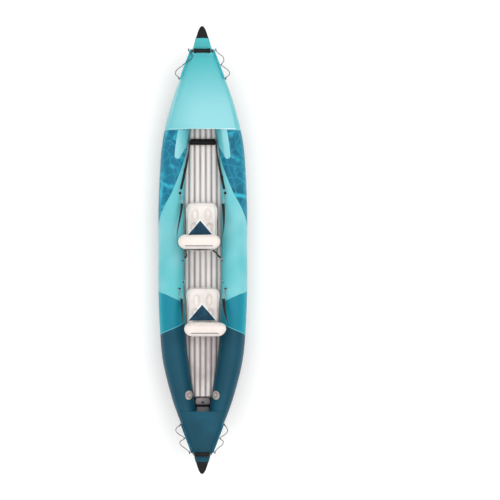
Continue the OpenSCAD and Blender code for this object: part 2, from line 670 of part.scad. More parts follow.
// The small steel pins of the gates and of the valve caps.
module hinge_pins() {
    color([0.55, 0.55, 0.57]) both_sides() {
        on_hook(front_ring_x, front_ring_y) gate_pin_form();
        on_hook(-rear_ring_x, rear_ring_y) gate_pin_form();
        on_skin(-valve_x, valve_y) translate([0, cap_hinge_y, cap_hinge_z]) rotate([0, 90, 0])
            cylinder(h = 19, r = cap_hinge_r, center = true, $fn = 24);
    }
}
module gate_front_port() {
    color([0.75, 0.75, 0.77]) on_hook(front_ring_x, front_ring_y) gate_form();
}
module gate_front_starboard() {
    mirror([0, 1, 0]) gate_front_port();
}
module gate_rear_port() {
    color([0.75, 0.75, 0.77]) on_hook(-rear_ring_x, rear_ring_y) gate_form();
}
module gate_rear_starboard() {
    mirror([0, 1, 0]) gate_rear_port();
}

// === seats ======================================================================
seat_corner = 83;
front_base_shift = 12;  // the seats sit a little off the middle line
front_back_shift = 26;
rear_base_shift = 0;
rear_back_shift = -28;
rest_x_front = front_seat_x - back_set;
rest_x_rear = -rear_seat_x - back_set;
function seat_z(x0) = mat_top(x0 - seat_len) + 1;
function seat_top(x0) = seat_z(x0) + seat_t;
function pivot_z(x0) = seat_top(x0) + neck_r + gap;
// Half width at a distance from the front edge, inside the tubes and round at the corners.
function seat_half(x0, shift, s, d) = let (r = seat_corner, q = min(s, seat_len - s),
    cut = q < r ? r - sqrt(r ^ 2 - (r - q) ^ 2) : 0)
    min(seat_w / 2, inner_y(x0 - s, seat_top(x0)) - abs(shift) - mat_gap) - cut - d;
function seat_side(x0, shift, d) = [for (k = [0:24]) let (s = seat_len * (1 - cos(180 * k / 24)) / 2)
    [x0 - d - (seat_len - 2 * d) * s / seat_len, max(seat_half(x0, shift, s, d), 1)]];
module seat_outline(x0, shift, d) {
    side = seat_side(x0, shift, d);
    translate([0, shift]) polygon(concat(side, [for (q = back_to_front(side)) [q[0], -q[1]]]));
}
module seat_base(x0, shift) {
    z = seat_z(x0);
    difference() {
        translate([0, 0, z]) linear_extrude(seat_t) seat_outline(x0, shift, 0);
        translate([0, 0, z + fabric]) linear_extrude(seat_t - 2 * fabric) seat_outline(x0, shift, fabric);
        translate([x0 - seat_len, shift, z + seat_t / 2]) rotate([0, 90, 0])
            cylinder(h = 10, r = seat_valve_r, center = true, $fn = 32);
    }
}
// A backrest is round in plan at both ends: a narrow neck under a thicker head.
head_from = 95;     // where the neck starts to widen, above the pivot
head_at = 160;      // where the head has its full size
function ease(v) = let (t = min(max(v, 0), 1)) t * t * (3 - 2 * t);
function rest_thick(h) = h < 0 ? sqrt(max(neck_r ^ 2 - h ^ 2, 0))
    : h > back_h - head_r ? sqrt(max(head_r ^ 2 - (h - back_h + head_r) ^ 2, 0))
    : neck_r + (head_r - neck_r) * ease((h - head_from) / (head_at - head_from));
function rest_wide(h) = neck_w / 2 + (head_w - neck_w) / 2 * ease((h - head_from) / (head_at - head_from))
    - (h < 0 ? (neck_r - rest_thick(h)) * 0.4 : 0)
    - (h > back_h - head_r ? (head_r - rest_thick(h)) * 0.7 : 0);
function rest_heights() = concat([for (a = [80:-20:20]) -neck_r * sin(a)], [0, head_from / 2],
    [for (k = [0:4]) head_from + (head_at - head_from) * k / 4], [(head_at + back_h - head_r) / 2],
    [for (a = [0:20:80]) back_h - head_r + head_r * sin(a)]);
neck_shift = 0.5;   // share of the head's sideways shift that the neck has
module rest_form(x0, xc, shift, d) {
    loft([for (h = rest_heights()) let (t = rest_thick(h) - d * 1.05, w = rest_wide(h) - d * 1.05,
        y = shift * (neck_shift + (1 - neck_shift) * ease((h - head_from) / (head_at - head_from))),
        lift = h < 0 ? d : h > back_h - head_r ? -d : 0)
        [for (k = [0:19]) let (a = k < 10 ? 180 - 20 * k : -20 * (k - 10), e = k < 10 ? 1 : -1)
            [xc + t * cos(a), y + e * (w - t) + t * sin(a), pivot_z(x0) + h + lift]]]);
}
module backrest(x0, xc, shift) {
    difference() {
        rest_form(x0, xc, shift, 0);
        rest_form(x0, xc, shift, fabric);
        translate([xc - neck_r, shift * neck_shift, pivot_z(x0) + 30]) rotate([0, 90, 0])
            cylinder(h = 14, r = seat_valve_r, center = true, $fn = 32);
    }
}
// Small plug valves: one in each base's rear edge, one low on each backrest's back.
seat_valve_r = 9;
seat_plug_t = 4;
module seat_plug() {
    rotate([0, -90, 0]) {
        translate([0, 0, gap]) cylinder(h = seat_plug_t, r = seat_valve_r + 4, $fn = 48);
        translate([0, 0, -12]) cylinder(h = 13, r = seat_valve_r - gap, $fn = 48);
    }
}
module base_plugs() {
    color([0.8, 0.78, 0.75]) {
        translate([front_seat_x - seat_len, front_base_shift, seat_z(front_seat_x) + seat_t / 2]) seat_plug();
        translate([-rear_seat_x - seat_len, rear_base_shift, seat_z(-rear_seat_x) + seat_t / 2]) seat_plug();
    }
}
module rest_plug(x0, xc, shift) {
    color([0.8, 0.78, 0.75]) translate([xc - neck_r, shift * neck_shift, pivot_z(x0) + 30]) seat_plug();
}
module rest_plug_front() {
    rest_plug(front_seat_x, rest_x_front, front_back_shift);
}
module rest_plug_rear() {
    rest_plug(-rear_seat_x, rest_x_rear, rear_back_shift);
}
module seat_base_front() {
    color([0.94, 0.9, 0.88]) seat_base(front_seat_x, front_base_shift);
}
module seat_base_rear() {
    color([0.94, 0.9, 0.88]) seat_base(-rear_seat_x, rear_base_shift);
}
module backrest_front() {
    color([0.97, 0.93, 0.91]) backrest(front_seat_x, rest_x_front, front_back_shift);
}
module backrest_rear() {
    color([0.97, 0.93, 0.91]) backrest(-rear_seat_x, rest_x_rear, rear_back_shift);
}
// Fabric webs that join a backrest's round foot to its base, front and back.
web_t = 1.5;
module hinge_web(x0, xc, shift) {
    w = neck_w - 70;
    r0 = neck_r + gap;
    color([0.9, 0.86, 0.84]) for (m = [0, 1]) translate([xc, shift * neck_shift, 0]) mirror([m, 0, 0])
        translate([0, w / 2, pivot_z(x0)]) rotate([90, 0, 0]) linear_extrude(w)
            polygon(concat([for (a = [-50:10:-10]) (r0 + web_t) * [cos(a), sin(a)]],
                [for (a = [-10:-10:-50]) r0 * [cos(a), sin(a)]],
                [[r0 * cos(50), -neck_r], [(r0 + web_t) * cos(50), -neck_r]]));
}
module hinge_web_front() {
    hinge_web(front_seat_x, rest_x_front, front_back_shift);
}
module hinge_web_rear() {
    hinge_web(-rear_seat_x, rest_x_rear, rear_back_shift);
}
// The pocket panel on the back of the front backrest.
pocket_w = 250;
pocket_h = 150;
pocket_t = 2;
module seat_pocket() {
    color([0.1, 0.29, 0.38]) translate([rest_x_front - head_r - gap - pocket_t,
        front_back_shift - pocket_w / 2, pivot_z(front_seat_x) + head_at]) cube([pocket_t, pocket_w, pocket_h]);
}
// Straps: from each snap hook aft to the back of the backrest's head.
FRONT_PORT_STRAP = [[430, 190, 437], [360, 196, 462], [250, 216, 502], [150, 232, 537], [88, 231, 548],
    [40, 220, 552], [12, 192, 554], [0, 150, 555]];
FRONT_STARBOARD_STRAP = [[430, -190, 437], [360, -196, 462], [250, -198, 502], [150, -190, 537],
    [88, -180, 548], [40, -168, 552], [12, -140, 554], [0, -98, 555]];
REAR_PORT_STRAP = [[-452, 194, 437], [-520, 190, 458], [-600, 184, 502], [-660, 180, 537],
    [-712, 178, 550], [-758, 166, 555], [-786, 138, 558], [-799, 96, 560]];
REAR_STARBOARD_STRAP = [[-452, -194, 437], [-520, -200, 458], [-600, -214, 502], [-660, -230, 537],
    [-712, -234, 550], [-758, -222, 555], [-786, -194, 558], [-799, -152, 560]];
// Thin tethers that hang from the front backrest to the low rings behind it.
tether_w = 17;
PORT_TETHER = [[0, 148, 528], [-14, 152, 500], [-30, 152, 440], [-50, 150, 390], [-66, 158, 366],
    [-72, 168, 362]];
STARBOARD_TETHER = [[0, -98, 528], [-14, -112, 500], [-30, -130, 440], [-50, -144, 390], [-66, -158, 366],
    [-72, -168, 362]];
module seat_straps_front() {
    color([0.07, 0.07, 0.07]) {
        strap(curve(FRONT_PORT_STRAP, 2), 30, 90, 2);
        strap(curve(FRONT_STARBOARD_STRAP, 2), 0, -90, 2);
        strap(curve(PORT_TETHER, 2), 0, 0, 1, tether_w);
        strap(curve(STARBOARD_TETHER, 2), 0, 0, 1, tether_w);
    }
}
module seat_straps_rear() {
    color([0.07, 0.07, 0.07]) {
        strap(curve(REAR_PORT_STRAP, 2), 30, 90, 2);
        strap(curve(REAR_STARBOARD_STRAP, 2), 0, -90, 2);
    }
}
// === foot bar ===================================================================
foot_x = 1008;
foot_gap = 2;
foot_core_r = 4;
foot_z = mat_top(foot_x + foot_r) + foot_r + foot_gap;
foot_strap_y = foot_len / 2 + 4;
foot_pivot_x = foot_ring_x + ring_reach;
module foot_bar() {
    e = foot_len / 2;
    color([0.12, 0.12, 0.12]) translate([foot_x, 0, foot_z]) rotate([90, 0, 0])
        rotate_extrude($fn = 48) polygon([[foot_core_r + gap, -e], [foot_r - 6, -e], [foot_r, -e + 6],
            [foot_r, e - 6], [foot_r - 6, e], [foot_core_r + gap, e]]);
}
FOOT_STRAP = [[566, 203, 413], [620, 190, 400], [700, 171, 381], [800, 150, 356], [900, 133, 332],
    [970, 123, 314]];
// Both straps, and the cord through the bar that joins them.
module foot_straps() {
    color([0.08, 0.08, 0.08]) {
        both_sides() strap(concat(curve(FOOT_STRAP, 2), [[foot_x, foot_strap_y, foot_z]]), -45, -90);
        translate([foot_x, 0, foot_z]) rotate([90, 0, 0])
            cylinder(h = 2 * foot_strap_y - strap_t - 0.2, r = foot_core_r, center = true, $fn = 24);
    }
}
// Ladder buckles around the foot straps, port further forward than starboard.
port_buckle_x = 740;
starboard_buckle_x = 676;
function strap_at(x) = [x, lookup(x, [for (q = FOOT_STRAP) [q[0], q[1]]]),
    lookup(x, [for (q = FOOT_STRAP) [q[0], q[2]]])];
module buckle(x, tilt) {
    d = strap_at(x + 20) - strap_at(x - 20);
    w = strap_w + 10;
    h = 9;
    l = 30;
    translate(strap_at(x)) rotate([0, 0, atan2(d[1], d[0])]) rotate([0, -asin(d[2] / norm(d)), 0])
        rotate([tilt, 0, 0]) difference() {
            cube([l, w, h], center = true);
            cube([l + 2, w - 5, h - 4], center = true);
            for (s = [-1, 1]) translate([s * 6, 0, h / 2]) cube([5, w - 8, h], center = true);
        }
}
module foot_buckles() {
    color([0.1, 0.1, 0.1]) {
        buckle(port_buckle_x, 65);
        mirror([0, 1, 0]) buckle(starboard_buckle_x, 59);
    }
}

// === fins =======================================================================
box_len = fin_root + 5;
box_h = 14;
box_w = 34;
box_wall = 4;
fin_flange_t = 5;
fin_flange_w = 20;
fin_fit = 0.3;
module fin_box(x0) {
    z = keel_z - box_h;
    translate([x0 - box_len, 0, 0]) difference() {
        union() {
            translate([0, -box_w / 2, z]) cube([box_len, box_w, box_h - gap]);
            translate([-14, -box_w / 2 - 16, keel_z - 3]) cube([box_len + 28, box_w + 32, 3 - gap]);
        }
        translate([-20, -fin_flange_w / 2 - fin_fit, keel_z - box_wall - fin_flange_t - 2 * fin_fit])
            cube([box_len - box_wall + 20, fin_flange_w + 2 * fin_fit, fin_flange_t + 2 * fin_fit]);
        translate([-20, -fin_t / 2 - fin_fit, z - 1])
            cube([box_len - box_wall + 20, fin_t + 2 * fin_fit, box_h - box_wall]);
    }
}
// Fin profile from its front top corner: swept leading edge, flat foot, long tail.
fin_nose = 125;
tail_r = 12;
fin_tail_z = 30;
function arc(cx, cz, a, b, from, to, n = 10) = [for (k = [0:n]) let (t = from + (to - from) * k / n)
    [cx + a * cos(t), cz + b * sin(t)]];
module fin(x0) {
    root_z = keel_z - box_wall - fin_fit;
    under = keel_z - box_h - fin_fit;
    front = x0 - box_wall - fin_fit;
    tail = front - fin_len;
    back = front - fin_root;
    difference() {
        union() {
            translate([0, fin_t / 2, 0]) rotate([90, 0, 0]) linear_extrude(fin_t)
                polygon(concat([[back, root_z], [front, root_z]],
                    arc(front - fin_nose, under, fin_nose, under, 0, -90),
                    arc(tail + tail_r, tail_r, tail_r, tail_r, -90, -180, 5),
                    [[tail, fin_tail_z - 4]], arc(tail, under, back - tail, under - fin_tail_z, -90, 0)));
            translate([back, -fin_flange_w / 2, root_z - fin_flange_t])
                cube([fin_root, fin_flange_w, fin_flange_t]);
        }
        translate([back + 26, 0, under - 16]) rotate([90, 0, 0])
            cylinder(h = 2 * fin_t, r = stud_r + running, center = true, $fn = 32);
    }
}
stud_r = 4;
module fin_stud(x0) {
    under = keel_z - box_h - fin_fit;
    back = x0 - box_wall - fin_fit - fin_root;
    color([0.55, 0.55, 0.56]) translate([back + 26, 0, under - 16]) rotate([90, 0, 0]) {
        cylinder(h = fin_t + 2, r = stud_r, center = true, $fn = 32);
        for (s = [-1, 1]) translate([0, 0, s * (fin_t / 2 + 1.4)])
            cylinder(h = 2, r = stud_r + 2, center = true, $fn = 32);
    }
}
module fin_box_front() {
    color([0.2, 0.2, 0.21]) fin_box(front_fin_x);
}
module fin_box_rear() {
    color([0.2, 0.2, 0.21]) fin_box(-rear_fin_x);
}
module fin_front() {
    color([0.08, 0.08, 0.09]) fin(front_fin_x);
}
module fin_rear() {
    color([0.08, 0.08, 0.09]) fin(-rear_fin_x);
}
module fin_stud_front() {
    fin_stud(front_fin_x);
}
module fin_stud_rear() {
    fin_stud(-rear_fin_x);
}

hull_tube_port();
hull_tube_starboard();
hull_bottom();
chine_tapes();
bow_deck();
stern_deck();
deck_arms();
bow_cap();
stern_cap();
grab_strips();
pad_eyes();
grab_lines_bow();
grab_lines_stern();
bow_handle_patch();
stern_handle_patch();
bow_handle_web();
stern_handle_web();
bow_handle_grip();
stern_handle_grip();
valve_body_port();
valve_body_starboard();
valve_pin_port();
valve_pin_starboard();
valve_spring_port();
valve_spring_starboard();
valve_cap_port();
valve_cap_starboard();
hinge_pins();
floor_mat();
floor_flap();
floor_plug();
floor_strap();
ring_tabs();
d_rings();
snap_hooks();
gate_front_port();
gate_front_starboard();
gate_rear_port();
gate_rear_starboard();
seat_base_front();
seat_base_rear();
base_plugs();
backrest_front();
backrest_rear();
rest_plug_front();
rest_plug_rear();
hinge_web_front();
hinge_web_rear();
seat_pocket();
seat_straps_front();
seat_straps_rear();
foot_bar();
foot_straps();
foot_buckles();
fin_box_front();
fin_box_rear();
fin_front();
fin_rear();
fin_stud_front();
fin_stud_rear();
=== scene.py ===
"""Looks of a two-seat inflatable kayak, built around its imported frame.

+X is the bow, +Y is port, +Z is up, in metres. The kayak stands on its fins.
"""

import json
import logging
import math
from dataclasses import dataclass
from enum import Enum
from typing import Callable, Optional, Sequence

import bpy
from mathutils import Matrix, Vector

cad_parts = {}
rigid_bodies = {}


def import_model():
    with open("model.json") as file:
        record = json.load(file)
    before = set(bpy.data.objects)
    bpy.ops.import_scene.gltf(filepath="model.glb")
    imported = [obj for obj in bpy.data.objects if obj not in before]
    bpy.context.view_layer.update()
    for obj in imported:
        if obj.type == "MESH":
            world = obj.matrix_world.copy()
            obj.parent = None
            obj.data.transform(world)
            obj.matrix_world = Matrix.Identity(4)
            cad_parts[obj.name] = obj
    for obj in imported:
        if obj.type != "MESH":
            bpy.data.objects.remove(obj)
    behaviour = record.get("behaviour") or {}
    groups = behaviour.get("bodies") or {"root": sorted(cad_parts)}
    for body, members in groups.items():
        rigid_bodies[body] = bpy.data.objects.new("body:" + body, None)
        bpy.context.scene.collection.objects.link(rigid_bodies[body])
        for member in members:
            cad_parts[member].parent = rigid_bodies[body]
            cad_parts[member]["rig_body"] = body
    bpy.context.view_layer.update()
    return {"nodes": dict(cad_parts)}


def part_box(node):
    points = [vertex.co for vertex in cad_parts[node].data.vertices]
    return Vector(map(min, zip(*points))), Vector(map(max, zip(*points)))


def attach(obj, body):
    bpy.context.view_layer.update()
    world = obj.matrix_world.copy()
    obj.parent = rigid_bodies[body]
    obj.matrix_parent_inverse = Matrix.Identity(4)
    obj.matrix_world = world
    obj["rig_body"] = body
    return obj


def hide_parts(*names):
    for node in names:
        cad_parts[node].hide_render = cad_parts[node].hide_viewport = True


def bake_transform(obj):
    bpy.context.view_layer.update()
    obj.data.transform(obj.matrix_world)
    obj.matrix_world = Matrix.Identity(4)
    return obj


LOG = logging.getLogger("kayak")
TAU = 2 * math.pi
Point = tuple[float, float, float]
Place = Callable[[float, float], Point]

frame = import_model()


# --- small sums ---------------------------------------------------------------


def ease(t: float) -> float:
    """Smooth step from 0 to 1."""
    t = min(max(t, 0.0), 1.0)
    return t * t * (3 - 2 * t)


def lerp(a: float, b: float, t: float) -> float:
    """The value a share t of the way from a to b."""
    return a + (b - a) * t


def power(value: float, exponent: float) -> float:
    """Signed power, for squarish round sections."""
    return math.copysign(abs(value) ** exponent, value)


def srgb(code: str) -> tuple[float, float, float, float]:
    """A hex colour as linear red, green, blue and alpha."""
    parts = [int(code[i : i + 2], 16) / 255 for i in (1, 3, 5)]
    lin = [p / 12.92 if p <= 0.04045 else ((p + 0.055) / 1.055) ** 2.4 for p in parts]
    return (lin[0], lin[1], lin[2], 1.0)


def smooth_path(points: Sequence[Point], steps: int) -> list[Vector]:
    """Points of a smooth curve through the given ones.

    Args:
        points: The points that the curve passes.
        steps: How many stretches lie between two of them.

    Returns:
        The curve's points, ends included.
    """
    p = [Vector(q) for q in points]
    out = []
    for i in range(len(p) - 1):
        a, b, c, d = p[max(i - 1, 0)], p[i], p[i + 1], p[min(i + 2, len(p) - 1)]
        for k in range(steps):
            t = k / steps
            out.append(
                (b * 2 + (c - a) * t + (a * 2 - b * 5 + c * 4 - d) * t**2
                 + (b * 3 - a - c * 3 + d) * t**3) / 2
            )
    return out + [p[-1]]


def path_length(points: Sequence[Vector]) -> float:
    """Length of a line of points."""
    return sum((b - a).length for a, b in zip(points, points[1:]))


def millimetres(points: Sequence[Point]) -> list[Point]:
    """Points in millimetres as metres."""
    return [(x / 1000, y / 1000, z / 1000) for x, y, z in points]


# --- the hull's lines -----------------------------------------------------------


@dataclass(frozen=True)
class HullLines:
    """The shape that the tubes, decks and skins share."""

    half_len: float = 2.06
    half_beam: float = 0.413
    keel_z: float = 0.145
    depth: float = 0.3
    keel_rise: float = 0.43
    sheer_rise: float = 0.165
    half_tube: float = 0.119
    lift_mid: float = 0.041
    lift_end: float = 0.015
    body_end: float = 1.948
    cap_len: float = 0.112
    beam: tuple = ((0, 1), (0.2, 1), (0.4, 0.955), (0.5, 0.9), (0.6, 0.785), (0.7, 0.635),
                   (0.8, 0.44), (0.9, 0.22), (0.95, 0.135), (1, 0.06))
    tube: tuple = ((0, 1), (0.5, 1), (0.6, 0.93), (0.7, 0.81), (0.8, 0.64), (0.9, 0.4), (1, 0.2))

    def smooth(self, table: tuple, x: float) -> float:
        """Reads a table of shares on a smooth curve."""
        i = 0
        while i < len(table) - 2 and x >= table[i + 1][0]:
            i += 1

        def rise(k: int) -> float:
            """Slope at a table's point."""
            a, b = max(k - 1, 0), min(k + 1, len(table) - 1)
            return (table[b][1] - table[a][1]) / (table[b][0] - table[a][0])

        h = table[i + 1][0] - table[i][0]
        s = min(max((x - table[i][0]) / h, 0), 1)
        return ((2 * s**3 - 3 * s**2 + 1) * table[i][1] + (s**3 - 2 * s**2 + s) * h * rise(i)
                + (3 * s**2 - 2 * s**3) * table[i + 1][1] + (s**3 - s**2) * h * rise(i + 1))

    def share(self, x: float) -> float:
        """Distance from the middle as a share of the half length."""
        return min(abs(x) / self.half_len, 1)

    def hull_y(self, x: float) -> float:
        """Half width of the hull."""
        return self.half_beam * self.smooth(self.beam, self.share(x))

    def keel(self, x: float) -> float:
        """Height of the underside."""
        return self.keel_z + self.keel_rise * (max(self.share(x) - 0.3, 0) / 0.7) ** 2.2

    def sheer(self, x: float) -> float:
        """Height of the tubes' tops."""
        rise = (max(self.share(x) - 0.35, 0) / 0.65) ** 1.2
        return self.keel_z + self.depth + self.sheer_rise * rise

    def tube_a(self, x: float) -> float:
        """Half width of a tube."""
        wide = self.half_tube * self.smooth(self.tube, self.share(x))
        return min(wide, self.hull_y(x) / 2 - 0.0005)

    def tube_b(self, x: float) -> float:
        """Half height of a tube."""
        t = min(max((self.share(x) - 0.3) / 0.5, 0), 1)
        return (self.sheer(x) - self.keel(x) - lerp(self.lift_mid, self.lift_end, t)) / 2

    def tube_y(self, x: float) -> float:
        """Distance of a tube's middle from the middle line."""
        return self.hull_y(x) - self.tube_a(x)

    def tube_z(self, x: float) -> float:
        """Height of a tube's middle."""
        return self.sheer(x) - self.tube_b(x)

    def on_tube(self, x: float, angle: float, out: float = 0.0) -> Point:
        """A point of the port tube's surface, angle in degrees from its outer side."""
        a = math.radians(angle)
        return (x, self.tube_y(x) + (self.tube_a(x) + out) * math.cos(a),
                self.tube_z(x) + (self.tube_b(x) + out) * math.sin(a))

    def inner_y(self, x: float, z: float) -> float:
        """A tube's inner side at a height."""
        return self.tube_y(x) - self._bulge(x, z)

    def _bulge(self, x: float, z: float) -> float:
        """Half width of a tube at a height."""
        return self.tube_a(x) * math.sqrt(max(1 - ((z - self.tube_z(x)) / self.tube_b(x)) ** 2, 0))

    def top_z(self, x: float, y: float) -> float:
        """Height of a tube's upper surface at a width."""
        q = (abs(y) - self.tube_y(x)) / self.tube_a(x)
        return self.tube_z(x) + self.tube_b(x) * math.sqrt(max(1 - q * q, 0))

    def skin_place(self, x: float, y: float) -> Matrix:
        """Where a fitting stands on a tube, its Z out of the skin."""
        d = 0.001
        side = math.copysign(1, y)
        y = abs(y)
        n = Vector(((self.top_z(x - d, y) - self.top_z(x + d, y)) / 2,
                    (self.top_z(x, y - d) - self.top_z(x, y + d)) / 2, d)).normalized()
        turn = (Matrix.Rotation(math.atan2(n.x, n.z), 4, "Y")
                @ Matrix.Rotation(-math.asin(n.y), 4, "X"))
        port = Matrix.Translation((x, y, self.top_z(x, y))) @ turn
        return port if side > 0 else Matrix.Scale(-1, 4, (0, 1, 0)) @ port


LINES = HullLines()
SKIN_GAP = 0.0022
SKIN_T = 0.0012


# --- shaders ----------------------------------------------------------------------


class Shader:
    """A node material while it is wired up."""

    def __init__(self, name: str) -> None:
        """Starts a material with its coordinates."""
        self.mat = bpy.data.materials.new(name)
        self.mat.use_nodes = True
        self.tree = self.mat.node_tree
        self.bsdf = self.tree.nodes["Principled BSDF"]
        coords = self.tree.nodes.new("ShaderNodeTexCoord")
        self.object = coords.outputs["Object"]
        self.uv = coords.outputs["UV"]
        split = self.add("ShaderNodeSeparateXYZ", {0: self.object})
        self.x, self.y, self.z = split.outputs

    def add(self, kind: str, inputs: dict, **settings: object) -> bpy.types.Node:
        """Adds a node.

        Args:
            kind: The node's type.
            inputs: Socket name or number to a value or another node's socket.
            settings: Properties of the node itself.

        Returns:
            The new node.
        """
        node = self.tree.nodes.new(kind)
        for key, value in settings.items():
            setattr(node, key, value)
        for key, value in inputs.items():
            self.put(node.inputs[key], value)
        return node

    def put(self, socket: bpy.types.NodeSocket, value: object) -> None:
        """Sets a socket, or links one to it."""
        if isinstance(value, bpy.types.NodeSocket):
            self.tree.links.new(value, socket)
        else:
            socket.default_value = value

    def math(self, op: str, a: object, b: object = 0.0, c: object = 0.0, clamp: bool = False) -> object:
        """A sum of one, two or three values."""
        node = self.add("ShaderNodeMath", {0: a, 1: b, 2: c}, operation=op, use_clamp=clamp)
        return node.outputs[0]

    def mix(self, share: object, a: object, b: object) -> object:
        """A colour between two."""
        node = self.add("ShaderNodeMix", {0: share, 6: a, 7: b}, data_type="RGBA")
        return node.outputs[2]

    def step(self, value: object, low: float, high: float) -> object:
        """0 below low, 1 above high and smooth between."""
        node = self.add("ShaderNodeMapRange", {0: value, 1: low, 2: high},
                        interpolation_type="SMOOTHSTEP")
        return node.outputs[0]

    def noise(self, scale: float, detail: float = 2.0, vector: object = None) -> object:
        """Soft noise from 0 to 1."""
        node = self.add("ShaderNodeTexNoise", {"Vector": vector or self.object,
                                               "Scale": scale, "Detail": detail})
        return node.outputs[0]

    def mapped(self, vector: object, scale: Point, turn: Point = (0, 0, 0)) -> object:
        """Coordinates scaled and turned."""
        return self.add("ShaderNodeMapping", {0: vector, 2: turn, 3: scale}).outputs[0]

    def bump(self, height: object, distance: float, strength: float = 1.0, under: object = None) -> object:
        """A bumped normal."""
        inputs = {"Height": height, "Distance": distance, "Strength": strength}
        if under is not None:
            inputs["Normal"] = under
        return self.add("ShaderNodeBump", inputs).outputs[0]

    def threads(self, pitch: float, vector: object = None) -> object:
        """Height of a plain weave, threads a pitch apart along all three axes."""
        v = self.add("ShaderNodeSeparateXYZ", {0: vector or self.object}).outputs
        waves = [self.math("SINE", self.math("MULTIPLY", s, TAU / pitch)) for s in v]
        return self.math("ADD", self.math("ADD", waves[0], waves[1]), waves[2])

    def ramp_line(self, value: object, points: Sequence[tuple[float, float]]) -> object:
        """A line through points as a function of a value, flat beyond its ends."""
        total: object = points[0][1]
        for (v0, y0), (v1, y1) in zip(points, points[1:]):
            part = self.add("ShaderNodeMapRange", {0: value, 1: v0, 2: v1, 3: 0.0, 4: y1 - y0})
            total = self.math("ADD", total, part.outputs[0])
        return total

    def finish(
        self, colour: object, roughness: float, normal: object = None, **sockets: object
    ) -> bpy.types.Material:
        """Wires the surface and hands over the material.

        Args:
            colour: Base colour, a value or a socket.
            roughness: Roughness, a value or a socket.
            normal: A bumped normal.
            sockets: Further socket values, underscores standing for spaces.

        Returns:
            The finished material.
        """
        self.put(self.bsdf.inputs["Specular IOR Level"], 0.16)
        self.put(self.bsdf.inputs["Base Color"], colour)
        self.put(self.bsdf.inputs["Roughness"], roughness)
        if normal is not None:
            self.put(self.bsdf.inputs["Normal"], normal)
        for key, value in sockets.items():
            self.put(self.bsdf.inputs[key.replace("_", " ")], value)
        return self.mat


class Tone(Enum):
    """The colours of this kayak."""

    PALE_TEAL = "#8ac8cf"
    LIGHT_TEAL = "#60b7bd"
    BOW_TIP = "#46acb1"
    EDGE_TEAL = "#3fb3bd"
    MID_TEAL = "#0d7c90"
    MID_BRIGHT = "#0b9aaa"
    DARK_TEAL = "#084c61"
    DEEP_TEAL = "#064052"
    WATER_DARK = "#095770"
    WATER_MID = "#0f6b87"
    WATER_LIGHT = "#2fa9c0"
    WATER_EDGE = "#14a9bd"
    WHITE = "#f2f6f4"
    NAVY = "#0d3c55"
    NAVY_LIGHT = "#1f5c74"
    TRAPEZE = "#1f9ea0"
    SEAT = "#efe6e1"
    SEAT_SHADE = "#dfd5d0"
    MAT = "#efe7e4"
    MAT_SHADE = "#cbc0bf"
    BLACK = "#141415"
    SOOT = "#1d1e20"
    TAPE = "#8fc9c6"
    GREY = "#7f7b80"
    VALVE = "#9a918b"
    VALVE_LIGHT = "#cfc6bd"
    STEEL = "#c9c9cb"

    @property
    def rgba(self) -> tuple[float, float, float, float]:
        """The colour in linear light."""
        return srgb(self.value)


@dataclass(frozen=True)
class CoatedCloth:
    """Reinforced fabric under a smooth coating, with a fine weave telegraphing through."""

    name: str
    colour: Tone
    shade: Tone
    roughness: float = 0.42
    thread: float = 0.0022
    relief: float = 0.00012

    def make(self) -> bpy.types.Material:
        """Builds the material."""
        s = Shader(self.name)
        patchy = s.step(s.noise(3.1, 3), 0.35, 0.7)
        colour = s.mix(patchy, self.colour.rgba, self.shade.rgba)
        scuff = s.step(s.noise(60, 5), 0.62, 0.8)
        rough = s.math("ADD", self.roughness, s.math("MULTIPLY", scuff, 0.12))
        weave = s.bump(s.threads(self.thread), self.relief, 0.5)
        skin = s.bump(s.noise(14, 3), 0.0012, 0.35, weave)
        return s.finish(colour, rough, skin, Coat_Weight=0.03, Coat_Roughness=0.4)


@dataclass(frozen=True)
class BowCloth:
    """The bow deck's cloth: deeper at the tip, paler towards the cockpit, with painted shade darkening its
    port edge.
    """

    name: str = "bow_deck_cloth"

    def make(self) -> bpy.types.Material:
        """Builds the material."""
        s = Shader(self.name)
        aft = s.step(s.math("ADD", s.x, s.math("MULTIPLY", s.noise(2.0), 0.12)), 1.9, 1.25)
        body = s.mix(aft, Tone.BOW_TIP.rgba, Tone.PALE_TEAL.rgba)
        # Painted shade: the port edge is darkened towards the tip's tone, as the light falls there.
        rim = s.step(s.y, 0.02, 0.36)
        colour = s.mix(s.math("MULTIPLY", rim, 0.55), body, Tone.BOW_TIP.rgba)
        weave = s.bump(s.threads(0.0022), 0.00012, 0.5)
        skin = s.bump(s.noise(9, 3), 0.002, 0.3, weave)
        return s.finish(colour, 0.45, skin, Coat_Weight=0.03, Coat_Roughness=0.4)


